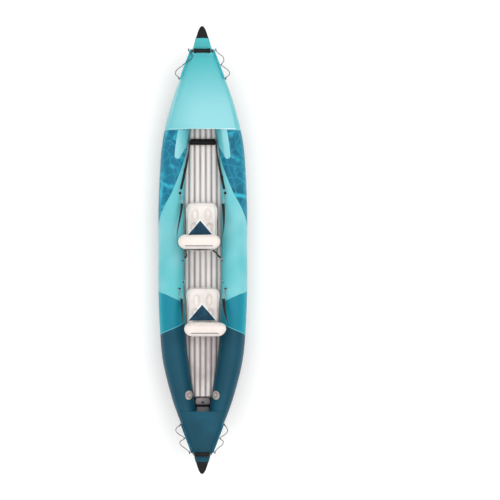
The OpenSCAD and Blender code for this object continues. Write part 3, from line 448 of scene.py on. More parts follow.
@dataclass(frozen=True)
class HullCloth:
    """The side tubes' printed cloth, panel by panel.

    Every border is a line of (girth angle, place along the hull); the girth angle is
    0 at the tube's outer side and 90 on its top.
    """

    name: str = "tube_cloth"
    water_front: tuple = ((-50, 1.24), (-5, 1.11), (70, 1.11))
    water_rear: tuple = ((-50, -0.30), (-44, -0.26), (5, 0.20), (90, 0.52), (147, 0.825), (170, 0.95))
    arm_edge: tuple = ((108, 0.852), (124, 0.875), (150, 0.945))
    notch_rear: tuple = ((-52, 0.46), (13, 0.57))
    notch_front: tuple = ((-52, 0.88), (13, 0.57))
    mid_front: tuple = ((-50, -0.28), (5, -0.38), (66, -0.41), (160, -0.50))
    mid_rear: tuple = ((-50, -0.88), (0, -0.80), (66, -0.75), (160, -0.67))

    def make(self) -> bpy.types.Material:
        """Builds the material."""
        s = Shader(self.name)
        v = s.add("ShaderNodeSeparateXYZ", {0: s.uv}).outputs[1]
        raw = s.math("MULTIPLY", v, 360.0)
        # The grid starts under the tube, at -90 degrees.
        girth = s.math("SUBTRACT", raw, 90.0)

        def ahead(points: tuple, soft: float = 0.0015) -> object:
            """1 ahead of a border."""
            return s.step(s.math("SUBTRACT", s.x, s.ramp_line(girth, points)), -soft, soft)

        def line(points: tuple, half: float) -> object:
            """1 on a narrow line along a border."""
            off = s.math("ABSOLUTE", s.math("SUBTRACT", s.x, s.ramp_line(girth, points)))
            return s.step(off, half * 1.3, half * 0.7)

        def minus(a: object, b: object) -> object:
            """One mask less another."""
            return s.math("MULTIPLY", a, s.math("SUBTRACT", 1.0, b))

        side = s.step(girth, 75, 5)
        # Painted shade: inner darkens the tubes' inner sides, which face the cockpit, towards EDGE_TEAL.
        inner = s.step(girth, 110, 165)
        patch = s.step(s.noise(2.4, 2), 0.3, 0.75)
        light = s.mix(patch, Tone.LIGHT_TEAL.rgba, Tone.PALE_TEAL.rgba)
        light = s.mix(s.math("MULTIPLY", inner, 0.55), light, Tone.EDGE_TEAL.rgba)
        mid = s.mix(side, Tone.MID_TEAL.rgba, Tone.MID_BRIGHT.rgba)
        dark = s.mix(s.step(s.noise(2.0), 0.3, 0.7), Tone.DARK_TEAL.rgba, Tone.DEEP_TEAL.rgba)
        water = self._water(s, side)

        in_water = minus(ahead(self.water_rear), ahead(self.water_front))
        below = s.step(girth, 13.4, 12.6)
        notch = s.math("MULTIPLY", below, minus(ahead(self.notch_rear), ahead(self.notch_front)))
        in_water = minus(in_water, notch)
        inboard = s.math("MULTIPLY", s.step(girth, 108, 109), ahead(self.arm_edge))
        in_water = minus(in_water, inboard)
        colour = s.mix(s.math("SUBTRACT", 1.0, ahead(self.mid_front)), light, mid)
        colour = s.mix(s.math("SUBTRACT", 1.0, ahead(self.mid_rear)), colour, dark)
        # Painted highlight: a thin pale line along the seam between the middle and the dark rear panel.
        colour = s.mix(line(self.mid_rear, 0.003), colour, Tone.LIGHT_TEAL.rgba)
        colour = s.mix(in_water, colour, water)
        rim = s.math("MULTIPLY", line(self.water_rear, 0.004), s.step(girth, 100, 130))
        colour = s.mix(s.math("MULTIPLY", rim, 0.7), colour, Tone.PALE_TEAL.rgba)
        weave = s.bump(s.threads(0.0022), 0.0001, 0.5)
        skin = s.bump(s.noise(11, 3), 0.0016, 0.3, weave)
        rough = s.math("ADD", 0.4, s.math("MULTIPLY", s.step(s.noise(45, 5), 0.6, 0.8), 0.12))
        return s.finish(colour, rough, skin, Coat_Weight=0.04, Coat_Roughness=0.35)

    def _water(self, s: Shader, side: object) -> object:
        """The print of light on water: a soft bright net over dark patches."""
        drift = s.add("ShaderNodeTexNoise", {"Vector": s.object, "Scale": 5.0, "Detail": 3.0})
        moved = s.add("ShaderNodeVectorMath", {0: drift.outputs["Color"], 1: (0.16, 0.16, 0.16), 2: s.object},
                      operation="MULTIPLY_ADD")

        def net(scale: float, width: float) -> object:
            """Bright edges between cells."""
            cell = s.add("ShaderNodeTexVoronoi", {"Vector": moved.outputs[0], "Scale": scale},
                         feature="DISTANCE_TO_EDGE")
            return s.step(cell.outputs["Distance"], width, 0.0)

        deep = s.step(s.noise(3.6, 3), 0.35, 0.68)
        base = s.mix(deep, Tone.WATER_MID.rgba, Tone.WATER_DARK.rgba)
        base = s.mix(s.math("MULTIPLY", side, 0.35), base, Tone.WATER_EDGE.rgba)
        fade = s.step(s.noise(6.5, 2), 0.38, 0.62)
        wide = s.math("MULTIPLY", s.math("MULTIPLY", net(4.6, 0.15), fade), 1.0)
        fine = s.math("MULTIPLY", net(10.0, 0.10), 0.28)
        return s.mix(s.math("ADD", wide, fine, clamp=True), base, Tone.WATER_LIGHT.rgba)


@dataclass(frozen=True)
class MatCloth:
    """The air mat's cloth, with painted shade darkening the valleys between its ridges."""

    name: str = "mat_cloth"
    pitch: float = 0.053

    def make(self) -> bpy.types.Material:
        """Builds the material."""
        s = Shader(self.name)
        wave = s.math("ABSOLUTE", s.math("COSINE", s.math("MULTIPLY", s.y, math.pi / self.pitch)))
        # Painted shade: the valleys between the ridges are darkened.
        valley = s.step(wave, 0.95, 0.0)
        base = s.mix(s.step(s.x, 0.9, -1.4), Tone.MAT.rgba, Tone.MAT_SHADE.rgba)
        tint = s.mix(s.step(s.noise(4.0), 0.3, 0.7), base, Tone.MAT.rgba)
        colour = s.mix(s.math("MULTIPLY", valley, 0.75), tint, srgb("#7f7778"))
        weave = s.bump(s.threads(0.0025), 0.00015, 0.5)
        return s.finish(colour, 0.4, s.bump(s.noise(25, 3), 0.0008, 0.3, weave), Coat_Weight=0.1)


@dataclass(frozen=True)
class SeatCloth:
    """Pale seat fabric with a pointed navy panel in front of the backrest.

    Attributes:
        middle: The seat's middle line.
        tail: Place of the panel's straight rear edge.
        half: Half the panel's width.
        height: The panel's length.
    """

    name: str
    middle: float
    tail: float
    half: float
    height: float

    def make(self) -> bpy.types.Material:
        """Builds the material."""
        s = Shader(self.name)
        up = s.step(s.add("ShaderNodeSeparateXYZ",
                          {0: s.add("ShaderNodeNewGeometry", {}).outputs["Normal"]}).outputs[2], 0.1, 0.2)
        y = s.math("ABSOLUTE", s.math("SUBTRACT", s.y, self.middle))
        along = s.math("SUBTRACT", s.x, self.tail)

        def panel(grow: float) -> object:
            """1 inside the pointed panel, grown on its slanted sides."""
            edge = s.math("SUBTRACT", self.half * (1 + grow / self.height),
                          s.math("MULTIPLY", along, self.half / self.height))
            inside = s.step(s.math("SUBTRACT", edge, y), -0.0008, 0.0008)
            return s.math("MULTIPLY", inside, s.step(along, -0.0008, 0.0008))

        def trapeze() -> object:
            """1 inside the small inverted panel behind the pointed one."""
            edge = s.math("ADD", 0.055, s.math("MULTIPLY", along, 0.55))
            inside = s.step(s.math("SUBTRACT", edge, y), -0.0008, 0.0008)
            behind = s.step(along, 0.0, -0.0015)
            return s.math("MULTIPLY", s.math("MULTIPLY", inside, behind), s.step(along, -0.042, -0.0405))

        base = s.mix(s.step(s.noise(7.0), 0.3, 0.7), Tone.SEAT.rgba, Tone.SEAT_SHADE.rgba)
        swirl = s.step(s.noise(26.0, 4), 0.5, 0.72)
        navy = s.mix(s.math("MULTIPLY", swirl, 0.6), Tone.NAVY.rgba, Tone.NAVY_LIGHT.rgba)
        colour = s.mix(s.math("MULTIPLY", panel(0.014), up), base, Tone.WHITE.rgba)
        colour = s.mix(s.math("MULTIPLY", panel(0.0), up), colour, navy)
        colour = s.mix(s.math("MULTIPLY", trapeze(), up), colour, Tone.TRAPEZE.rgba)
        weave = s.bump(s.threads(0.0018), 0.00012, 0.6)
        return s.finish(colour, 0.5, s.bump(s.noise(30, 3), 0.0008, 0.35, weave),
                        Sheen_Weight=0.15, Coat_Weight=0.05)


@dataclass(frozen=True)
class Woven:
    """Flat webbing: ribs across its length and a herringbone along it."""

    name: str
    colour: Tone = Tone.BLACK
    rib: float = 0.0022

    def make(self) -> bpy.types.Material:
        """Builds the material."""
        s = Shader(self.name)
        u, v = s.add("ShaderNodeSeparateXYZ", {0: s.uv}).outputs[:2]
        zig = s.math("PINGPONG", v, 0.004)
        slant = s.math("ADD", u, zig)
        ribs = s.math("SINE", s.math("MULTIPLY", slant, TAU / self.rib))
        warp = s.math("SINE", s.math("MULTIPLY", v, TAU / 0.0016))
        height = s.math("ADD", ribs, s.math("MULTIPLY", warp, 0.5))
        worn = s.step(s.noise(35, 4), 0.55, 0.8)
        glint = s.math("MULTIPLY", s.step(ribs, 0.3, 1.0), s.math("ADD", 0.25, s.math("MULTIPLY", worn, 0.4)))
        colour = s.mix(glint, self.colour.rgba, srgb("#3a3b3d"))
        return s.finish(colour, 0.75, s.bump(height, 0.0003, 0.8), Sheen_Weight=0.25,
                        Sheen_Roughness=0.5)


@dataclass(frozen=True)
class Moulded:
    """Moulded rubber or plastic with a fine grain and rubbed edges."""

    name: str
    colour: Tone = Tone.BLACK
    rub: Tone = Tone.SOOT
    roughness: float = 0.45
    grain: float = 900.0

    def make(self) -> bpy.types.Material:
        """Builds the material."""
        s = Shader(self.name)
        cloudy = s.step(s.noise(18, 4), 0.4, 0.7)
        edge = s.step(s.add("ShaderNodeNewGeometry", {}).outputs["Pointiness"], 0.52, 0.6)
        share = s.math("MAXIMUM", s.math("MULTIPLY", cloudy, 0.5), edge)
        colour = s.mix(share, self.colour.rgba, self.rub.rgba)
        rough = s.math("ADD", self.roughness, s.math("MULTIPLY", s.noise(70, 4), 0.14))
        return s.finish(colour, rough, s.bump(s.noise(self.grain, 2), 0.00015, 0.5))


@dataclass(frozen=True)
class StripRubber:
    """The strips along both decks' edges: bright at the bow, dark at the stern."""

    name: str = "strip_rubber"

    def make(self) -> bpy.types.Material:
        """Builds the material."""
        s = Shader(self.name)
        worn = s.step(s.noise(22, 4), 0.4, 0.75)
        bow = s.mix(worn, srgb("#2f9cab"), Tone.EDGE_TEAL.rgba)
        stern = s.mix(worn, Tone.DARK_TEAL.rgba, Tone.MID_TEAL.rgba)
        colour = s.mix(s.step(s.x, -0.5, 0.5), stern, bow)
        return s.finish(colour, 0.45, s.bump(s.noise(600, 2), 0.00015, 0.5))


@dataclass(frozen=True)
class Plated:
    """Plated or stainless wire and pressings."""

    name: str = "plated_steel"
    roughness: float = 0.24

    def make(self) -> bpy.types.Material:
        """Builds the material."""
        s = Shader(self.name)
        smear = s.noise(120, 4, s.mapped(s.object, (1, 1, 4)))
        rough = s.math("ADD", self.roughness, s.math("MULTIPLY", smear, 0.2))
        colour = s.mix(s.step(s.noise(50, 3), 0.5, 0.8), Tone.STEEL.rgba, srgb("#a7a6a6"))
        return s.finish(colour, rough, s.bump(smear, 0.0001, 0.4), Metallic=1.0)


@dataclass(frozen=True)
class Braid:
    """The grab lines' braid, which turns round the cord."""

    name: str = "line_braid"

    def make(self) -> bpy.types.Material:
        """Builds the material."""
        s = Shader(self.name)
        u, v = s.add("ShaderNodeSeparateXYZ", {0: s.uv}).outputs[:2]
        a = s.math("SINE", s.math("MULTIPLY", s.math("ADD", u, v), TAU / 0.006))
        b = s.math("SINE", s.math("MULTIPLY", s.math("SUBTRACT", u, v), TAU / 0.006))
        height = s.math("MAXIMUM", a, b)
        # Painted highlight: the braid's crests are lighter than its grooves.
        colour = s.mix(s.step(height, 0.4, 1.0), Tone.BLACK.rgba, srgb("#343436"))
        return s.finish(colour, 0.7, s.bump(height, 0.0006, 0.8), Sheen_Weight=0.2)


class Finishes:
    """Every material of the kayak, made once."""

    def __init__(self) -> None:
        """Builds them all."""
        self.tube = HullCloth().make()
        self.bow = BowCloth().make()
        self.stern = CoatedCloth("stern_deck_cloth", Tone.DARK_TEAL, Tone.DEEP_TEAL).make()
        self.arm = CoatedCloth("arm_cloth", Tone.PALE_TEAL, Tone.LIGHT_TEAL, 0.4).make()
        self.bottom = CoatedCloth("bottom_cloth", Tone.BLACK, Tone.SOOT, 0.5, 0.0035, 0.0003).make()
        self.tape = CoatedCloth("tape_cloth", Tone.TAPE, Tone.LIGHT_TEAL, 0.4).make()
        self.patch = CoatedCloth("patch_cloth", Tone.LIGHT_TEAL, Tone.EDGE_TEAL, 0.4).make()
        self.dark_patch = CoatedCloth("dark_patch_cloth", Tone.DARK_TEAL, Tone.DEEP_TEAL, 0.4).make()
        # The bow welt's white: a pale edge with a painted highlight along it.
        self.hem = CoatedCloth("hem_cloth", Tone.WHITE, Tone.PALE_TEAL, 0.4).make()
        self.mat = MatCloth().make()
        self.flap = CoatedCloth("flap_cloth", Tone.GREY, Tone.MAT_SHADE, 0.45).make()
        self.web = Woven("black_webbing").make()
        self.braid = Braid().make()
        self.cap = Moulded("cap_rubber", roughness=0.5).make()
        self.grip = Moulded("grip_rubber", rub=Tone.SOOT, roughness=0.42).make()
        self.plastic = Moulded("black_plastic", roughness=0.35).make()
        self.fin = Moulded("fin_plastic", roughness=0.28, grain=400).make()
        self.strip = StripRubber().make()
        self.valve = Moulded("valve_plastic", Tone.VALVE, Tone.VALVE_LIGHT, 0.35).make()
        self.valve_cap = Moulded("valve_cap_plastic", Tone.VALVE, Tone.GREY, 0.38).make()
        self.valve_light = Moulded("valve_pin_plastic", Tone.VALVE_LIGHT, Tone.WHITE, 0.3).make()
        self.plug = Moulded("plug_plastic", Tone.SEAT_SHADE, Tone.WHITE, 0.35).make()
        self.stud = Moulded("stud_plastic", Tone.GREY, Tone.MAT_SHADE, 0.35).make()
        self.foam = Moulded("foot_foam", Tone.BLACK, Tone.SOOT, 0.7, 260).make()
        self.steel = Plated().make()
        self.pocket = CoatedCloth("pocket_cloth", Tone.NAVY, Tone.NAVY_LIGHT, 0.55, 0.003, 0.0003).make()


# --- modelling by hand ------------------------------------------------------------


def deselect() -> None:
    if bpy.context.object is not None and bpy.context.object.mode != "OBJECT":
        bpy.ops.object.mode_set(mode="OBJECT")
    bpy.ops.object.select_all(action="DESELECT")


def focus(piece: bpy.types.Object) -> bpy.types.Object:
    """Selects one piece and makes it active."""
    deselect()
    piece.select_set(True)
    bpy.context.view_layer.objects.active = piece
    return piece


def settle(piece: bpy.types.Object) -> bpy.types.Object:
    """Puts a piece's place into its mesh."""
    focus(piece)
    bpy.ops.object.transform_apply(location=True, rotation=True, scale=True)
    return piece


def apply_modifier(piece: bpy.types.Object, kind: str, **settings: object) -> None:
    """Adds a modifier, sets it up and applies it.

    Args:
        piece: The piece.
        kind: The modifier's type.
        settings: Its properties.
    """
    focus(piece)
    bpy.ops.object.modifier_add(type=kind)
    modifier = piece.modifiers[-1]
    for key, value in settings.items():
        setattr(modifier, key, value)
    bpy.ops.object.modifier_apply(modifier=modifier.name)


def clean(piece: bpy.types.Object, merge: float = 1e-6, outward: bool = True) -> bpy.types.Object:
    """Merges doubles and turns the faces outwards."""
    focus(piece)
    bpy.ops.object.mode_set(mode="EDIT")
    bpy.ops.mesh.select_all(action="SELECT")
    bpy.ops.mesh.remove_doubles(threshold=merge)
    if outward:
        bpy.ops.mesh.normals_make_consistent(inside=False)
    bpy.ops.object.mode_set(mode="OBJECT")
    return piece


def smooth(piece: bpy.types.Object, angle: float = 40.0) -> bpy.types.Object:
    """Shades a piece smooth below an angle."""
    focus(piece)
    bpy.ops.object.shade_smooth_by_angle(angle=math.radians(angle))
    return piece


def dress(piece: bpy.types.Object, material: bpy.types.Material) -> bpy.types.Object:
    """Gives a piece its material."""
    piece.data.materials.clear()
    piece.data.materials.append(material)
    return piece


def join(pieces: Sequence[bpy.types.Object], name: str) -> bpy.types.Object:
    """Joins pieces into one with a name."""
    focus(pieces[0])
    for piece in pieces:
        piece.select_set(True)
    if len(pieces) > 1:
        bpy.ops.object.join()
    pieces[0].name = name
    pieces[0].data.name = name
    return pieces[0]


def shaped_grid(
    name: str, nu: int, nv: int, place: Place, closed: bool = False, caps: bool = False,
    scale_uv: Optional[tuple[float, float]] = None,
) -> bpy.types.Object:
    """A grid whose crossings are pulled onto a form.

    Args:
        name: The piece's name.
        nu: Squares along the form.
        nv: Squares across or round it.
        place: Where the crossing at shares u and v goes.
        closed: The form closes on itself in v.
        caps: Its two ends are filled.
        scale_uv: Real length and girth, to give the UV map metres.

    Returns:
        The piece, its faces outward if it is closed.
    """
    deselect()
    bpy.ops.mesh.primitive_grid_add(x_subdivisions=nu, y_subdivisions=nv, size=2.0)
    piece = bpy.context.object
    piece.name = name
    for vertex in piece.data.vertices:
        vertex.co = place((vertex.co.x + 1) / 2, (vertex.co.y + 1) / 2)
    if scale_uv:
        for loop in piece.data.uv_layers[0].data:
            loop.uv = (loop.uv[0] * scale_uv[0], loop.uv[1] * scale_uv[1])
    if closed:
        clean(piece, outward=False)
        if caps:
            bpy.ops.object.mode_set(mode="EDIT")
            bpy.ops.mesh.select_all(action="DESELECT")
            bpy.ops.mesh.select_mode(type="EDGE")
            bpy.ops.mesh.select_non_manifold(extend=False, use_boundary=True, use_wire=False,
                                             use_multi_face=False, use_non_contiguous=False,
                                             use_verts=False)
            bpy.ops.mesh.edge_face_add()
            bpy.ops.mesh.select_mode(type="VERT")
            bpy.ops.object.mode_set(mode="OBJECT")
        clean(piece)
    return piece


def turned(
    name: str, profile: Sequence[tuple[float, float]], where: Matrix, sides: int = 64, ring: bool = False
) -> bpy.types.Object:
    """A turned form, extruded ring by ring as on a lathe.

    Args:
        name: The piece's name.
        profile: Radius and height of each ring, the first one the start.
        where: The place and direction of the form's Z.
        sides: Sides of a ring.
        ring: The profile comes back to its start, as round a bore.

    Returns:
        The piece.
    """
    deselect()
    radius, height = profile[0]
    bpy.ops.mesh.primitive_circle_add(
        vertices=sides, radius=radius, location=(0, 0, height), fill_type="NOTHING" if ring else "NGON")
    piece = settle(bpy.context.object)
    piece.name = name
    bpy.ops.object.mode_set(mode="EDIT")
    bpy.ops.mesh.select_all(action="SELECT")
    for r, z in profile[1:]:
        bpy.ops.mesh.extrude_region_move(TRANSFORM_OT_translate={"value": (0, 0, z - height)})
        k = r / radius
        bpy.ops.transform.resize(value=(k, k, 1), center_override=(0, 0, z))
        radius, height = r, z
    bpy.ops.object.mode_set(mode="OBJECT")
    piece.data.transform(where)
    return clean(piece, 1e-5)


def block(name: str, size: Point, where: Matrix, bevel: float) -> bpy.types.Object:
    """A block with worked edges at a place."""
    deselect()
    bpy.ops.mesh.primitive_cube_add(size=1.0)
    piece = bpy.context.object
    piece.name = name
    piece.scale = size
    settle(piece)
    bpy.ops.object.mode_set(mode="EDIT")
    bpy.ops.mesh.select_all(action="SELECT")
    bpy.ops.mesh.bevel(offset=bevel, segments=3, affect="EDGES")
    bpy.ops.object.mode_set(mode="OBJECT")
    piece.data.transform(where)
    return clean(piece)


def side_of(t: Vector) -> Vector:
    """The level direction across a tangent."""
    up = Vector((1, 0, 0)) if abs(t.z) > 0.95 else Vector((0, 0, 1))
    return t.cross(up).normalized()


@dataclass(frozen=True)
class Lay:
    """How a strap turns along its way, in degrees, as its solid does."""

    start: float = 0.0
    end: float = 0.0
    haste: float = 1.0
    across: Optional[Point] = None


def band(name: str, path: Sequence[Vector], width: float, thick: float, lay: Lay = Lay()) -> bpy.types.Object:
    """Flat webbing along a path, its edges rounded and its UV map in metres.

    Args:
        name: The piece's name.
        path: The middle line.
        width: The webbing's width.
        thick: Its thickness.
        lay: How it turns on its way.

    Returns:
        The piece.
    """
    n = len(path) - 1
    frames = []
    for i in range(n + 1):
        t = (path[min(i + 1, n)] - path[max(i - 1, 0)]).normalized()
        s = Vector(lay.across) if lay.across else side_of(t)
        m = s.cross(t)
        r = math.radians(lerp(lay.start, lay.end, min(lay.haste * i / n, 1)))
        frames.append((path[i], s * math.cos(r) + m * math.sin(r), m * math.cos(r) - s * math.sin(r)))
    hw, ht, e = width / 2, thick / 2, thick * 0.35
    section = [(-hw, -ht + e), (-hw, ht - e), (-hw + e, ht), (-hw / 3, ht * 0.93), (hw / 3, ht * 0.93),
               (hw - e, ht), (hw, ht - e), (hw, -ht + e), (hw - e, -ht), (hw / 3, -ht * 0.93),
               (-hw / 3, -ht * 0.93), (-hw + e, -ht)]
    sides = len(section)

    def place(u: float, v: float) -> Point:
        """A corner of the band."""
        p, a, b = frames[round(u * n)]
        q = section[round(v * sides) % sides]
        return tuple(p + a * q[0] + b * q[1])

    piece = shaped_grid(name, n, sides, place, True, True, (path_length(path), 2 * width))
    return smooth(piece, 50)


def rope(name: str, path: Sequence[Vector], radius: float, sides: int = 12) -> bpy.types.Object:
    """A round cord along a path."""
    n = len(path) - 1

    def place(u: float, v: float) -> Point:
        """A point of the cord's surface."""
        i = round(u * n)
        t = (path[min(i + 1, n)] - path[max(i - 1, 0)]).normalized()
        s = side_of(t)
        a = TAU * v
        return tuple(path[i] + (s * math.cos(a) + s.cross(t) * math.sin(a)) * radius)

    piece = shaped_grid(name, n, sides, place, True, True, (path_length(path), TAU * radius))
    return smooth(piece, 60)


def merged_copy(node: str, name: str, bevel: float = 0.0, angle: float = 35.0) -> bpy.types.Object:
    """A copy of a CAD node as one welded mesh with worked edges, in the node's place.

    Args:
        node: The CAD node.
        name: The piece's name.
        bevel: Width of the edges' rounding.
        angle: Edges sharper than this stay crisp.

    Returns:
        The piece, which rides on the node's body and stands for it.
    """
    source = frame["nodes"][node]
    piece = bpy.data.objects.new(name, source.data.copy())
    bpy.context.scene.collection.objects.link(piece)
    focus(piece)
    if piece.data.has_custom_normals:
        bpy.ops.mesh.customdata_custom_splitnormals_clear()
    clean(piece, 2e-6, outward=False)
    if bevel > 0:
        apply_modifier(piece, "BEVEL", width=bevel, segments=2, limit_method="ANGLE",
                       angle_limit=math.radians(angle), use_clamp_overlap=True)
    smooth(piece, angle + 5)
    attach(piece, source["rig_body"])
    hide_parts(node)
    return piece


def wrap(piece: bpy.types.Object, thick: float) -> bpy.types.Object:
    """Gives a sheet its thickness, evenly on both faces."""
    apply_modifier(piece, "SOLIDIFY", thickness=thick, offset=0.0, use_even_offset=False)
    return smooth(clean(piece), 50)


# --- the sub-assemblies --------------------------------------------------------------


@dataclass
class Assembly:
    """Base of each sub-assembly: its finishes and how it settles a piece."""

    finishes: Finishes

    def fit(self, piece: bpy.types.Object, material: bpy.types.Material, body: Optional[str] = "hull",
            slot: str = "", stands_for: Sequence[str] = ()) -> bpy.types.Object:
        """Dresses a piece, puts it on its body and reports it.

        Args:
            piece: The piece.
            material: Its material.
            body: The body that it rides on, or None to leave it on no body.
            slot: Not used.
            stands_for: The CAD nodes that it replaces.

        Returns:
            The piece.
        """
        dress(piece, material)
        if body:
            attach(piece, body)
        if stands_for:
            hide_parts(*stands_for)
        LOG.info("%s: %d faces", piece.name, len(piece.data.polygons))
        return piece

    def keep(self, node: str, material: bpy.types.Material, bevel: float = 0.0, slot: str = "",
             angle: float = 35.0) -> bpy.types.Object:
        """Works a CAD node's edges and dresses it."""
        piece = merged_copy(node, node + "_worked", bevel, angle)
        return self.fit(piece, material, None, slot)


@dataclass
class Hull(Assembly):
    """Side tubes, bottom, chine tapes and end caps."""

    rows: int = 220
    sides: int = 72
    chine: float = -55.0
    tape_from: float = -0.88
    tape_to: float = 1.25
    bottom_flat: tuple = (0.66, 4.02)

    def build(self) -> None:
        """Makes the hull's pieces."""
        for side, name in ((1, "port"), (-1, "starboard")):
            self._tube(side, name)
            self._chine_tape(side, name)
            self._seam(side, name)
        self._bottom()
        for way, name in ((1, "bow"), (-1, "stern")):
            self._cap(way, name)

    def _tube(self, side: int, name: str) -> None:
        """One side tube, its ends drawn in round."""
        stop = LINES.body_end - 0.0003

        def place(u: float, v: float) -> Point:
            """A point of the tube."""
            x = stop * math.sin(math.pi * (u - 0.5))
            angle = 360 * v - 90
            p = LINES.on_tube(x, angle)
            # The cloth puckers a little where the decks' edges pull on it.
            near = 1 - ease(abs(abs(x) - 1.5) / 0.45)
            pucker = 0.0006 * near * math.sin(x * 190) * max(math.sin(math.radians(angle)), 0)
            return (p[0], side * p[1], p[2] - abs(pucker))

        piece = shaped_grid(f"side_tube_{name}", self.rows, self.sides, place, True, True)
        self.fit(smooth(piece, 60), self.finishes.tube, slot="hull_fabric",
                 stands_for=[f"hull_tube_{name}"])

    def _bottom(self) -> None:
        """The black bottom skin."""

        def place(u: float, v: float) -> Point:
            """A point of the skin."""
            x = LINES.body_end * 0.9995 * (2 * u - 1)
            f = 2 * v - 1
            out = SKIN_GAP + SKIN_T / 2
            e = LINES.on_tube(x, self.chine, out)
            low = LINES.keel(x) + SKIN_T / 2
            return (x, e[1] * f, low + (e[2] - low) * abs(f) ** 6)

        piece = shaped_grid("bottom_skin", 160, 48, place)
        self.fit(wrap(piece, SKIN_T), self.finishes.bottom, slot="bottom_skin", stands_for=["hull_bottom"])

    def _chine_tape(self, side: int, name: str) -> None:
        """The pale tape over the chine seam."""

        def place(u: float, v: float) -> Point:
            """A point of the tape."""
            taper = 1 - ease((abs(2 * u - 1) - 0.97) / 0.03) * 0.4
            angle = self.chine + 10 + 8 * (2 * v - 1) * taper
            p = LINES.on_tube(lerp(self.tape_from, self.tape_to, u), angle, SKIN_GAP + SKIN_T * 1.2)
            return (p[0], side * p[1], p[2])

        piece = shaped_grid(f"chine_tape_{name}", 120, 6, place)
        stands = ["chine_tapes"] if side > 0 else []
        self.fit(wrap(piece, SKIN_T), self.finishes.tape, slot="tape", stands_for=stands)

    def _seam(self, side: int, name: str) -> None:
        """The lapped weld that runs along the inner side of a tube."""

        def place(u: float, v: float) -> Point:
            """A point of the lap."""
            x = lerp(-1.44, 1.08, u)
            p = LINES.on_tube(x, 168 + 7 * (2 * v - 1), 0.0009)
            return (p[0], side * p[1], p[2])

        piece = shaped_grid(f"tube_seam_{name}", 150, 4, place)
        self.fit(wrap(piece, 0.0009), self.finishes.tube, slot="hull_fabric")

    def _cap(self, way: int, name: str) -> None:
        """One moulded end cap with its ribs."""

        def place(u: float, v: float) -> Point:
            """A point of the cap."""
            t = math.sin(math.pi / 2 * u) * 0.998
            x = LINES.body_end + LINES.cap_len * t
            shrink = math.sqrt(max(1 - t**5, 0))
            a = TAU * v
            rib = 0.0016 * max(math.cos(a * 9), 0) ** 2 * (1 - t) + 0.002 * ease((0.06 - u) / 0.04)
            w = (LINES.hull_y(x) + rib) * shrink
            h = ((LINES.sheer(x) - LINES.keel(x)) / 2 + rib) * shrink
            c = (LINES.sheer(x) + LINES.keel(x)) / 2
            return (way * x, w * power(math.cos(a), 0.8), c + h * power(math.sin(a), 0.8))

        piece = shaped_grid(f"end_cap_{name}", 40, 144, place, True, True)
        self.fit(smooth(piece, 50), self.finishes.cap, slot="cap_rubber", stands_for=[f"{name}_cap"])


class End(Enum):
    """The two ends of the kayak."""

    BOW = 1
    STERN = -1

    @property
    def handle_x(self) -> float:
        """How far this end's handle is from the middle of the hull."""
        return 1.83 if self is End.BOW else 1.876


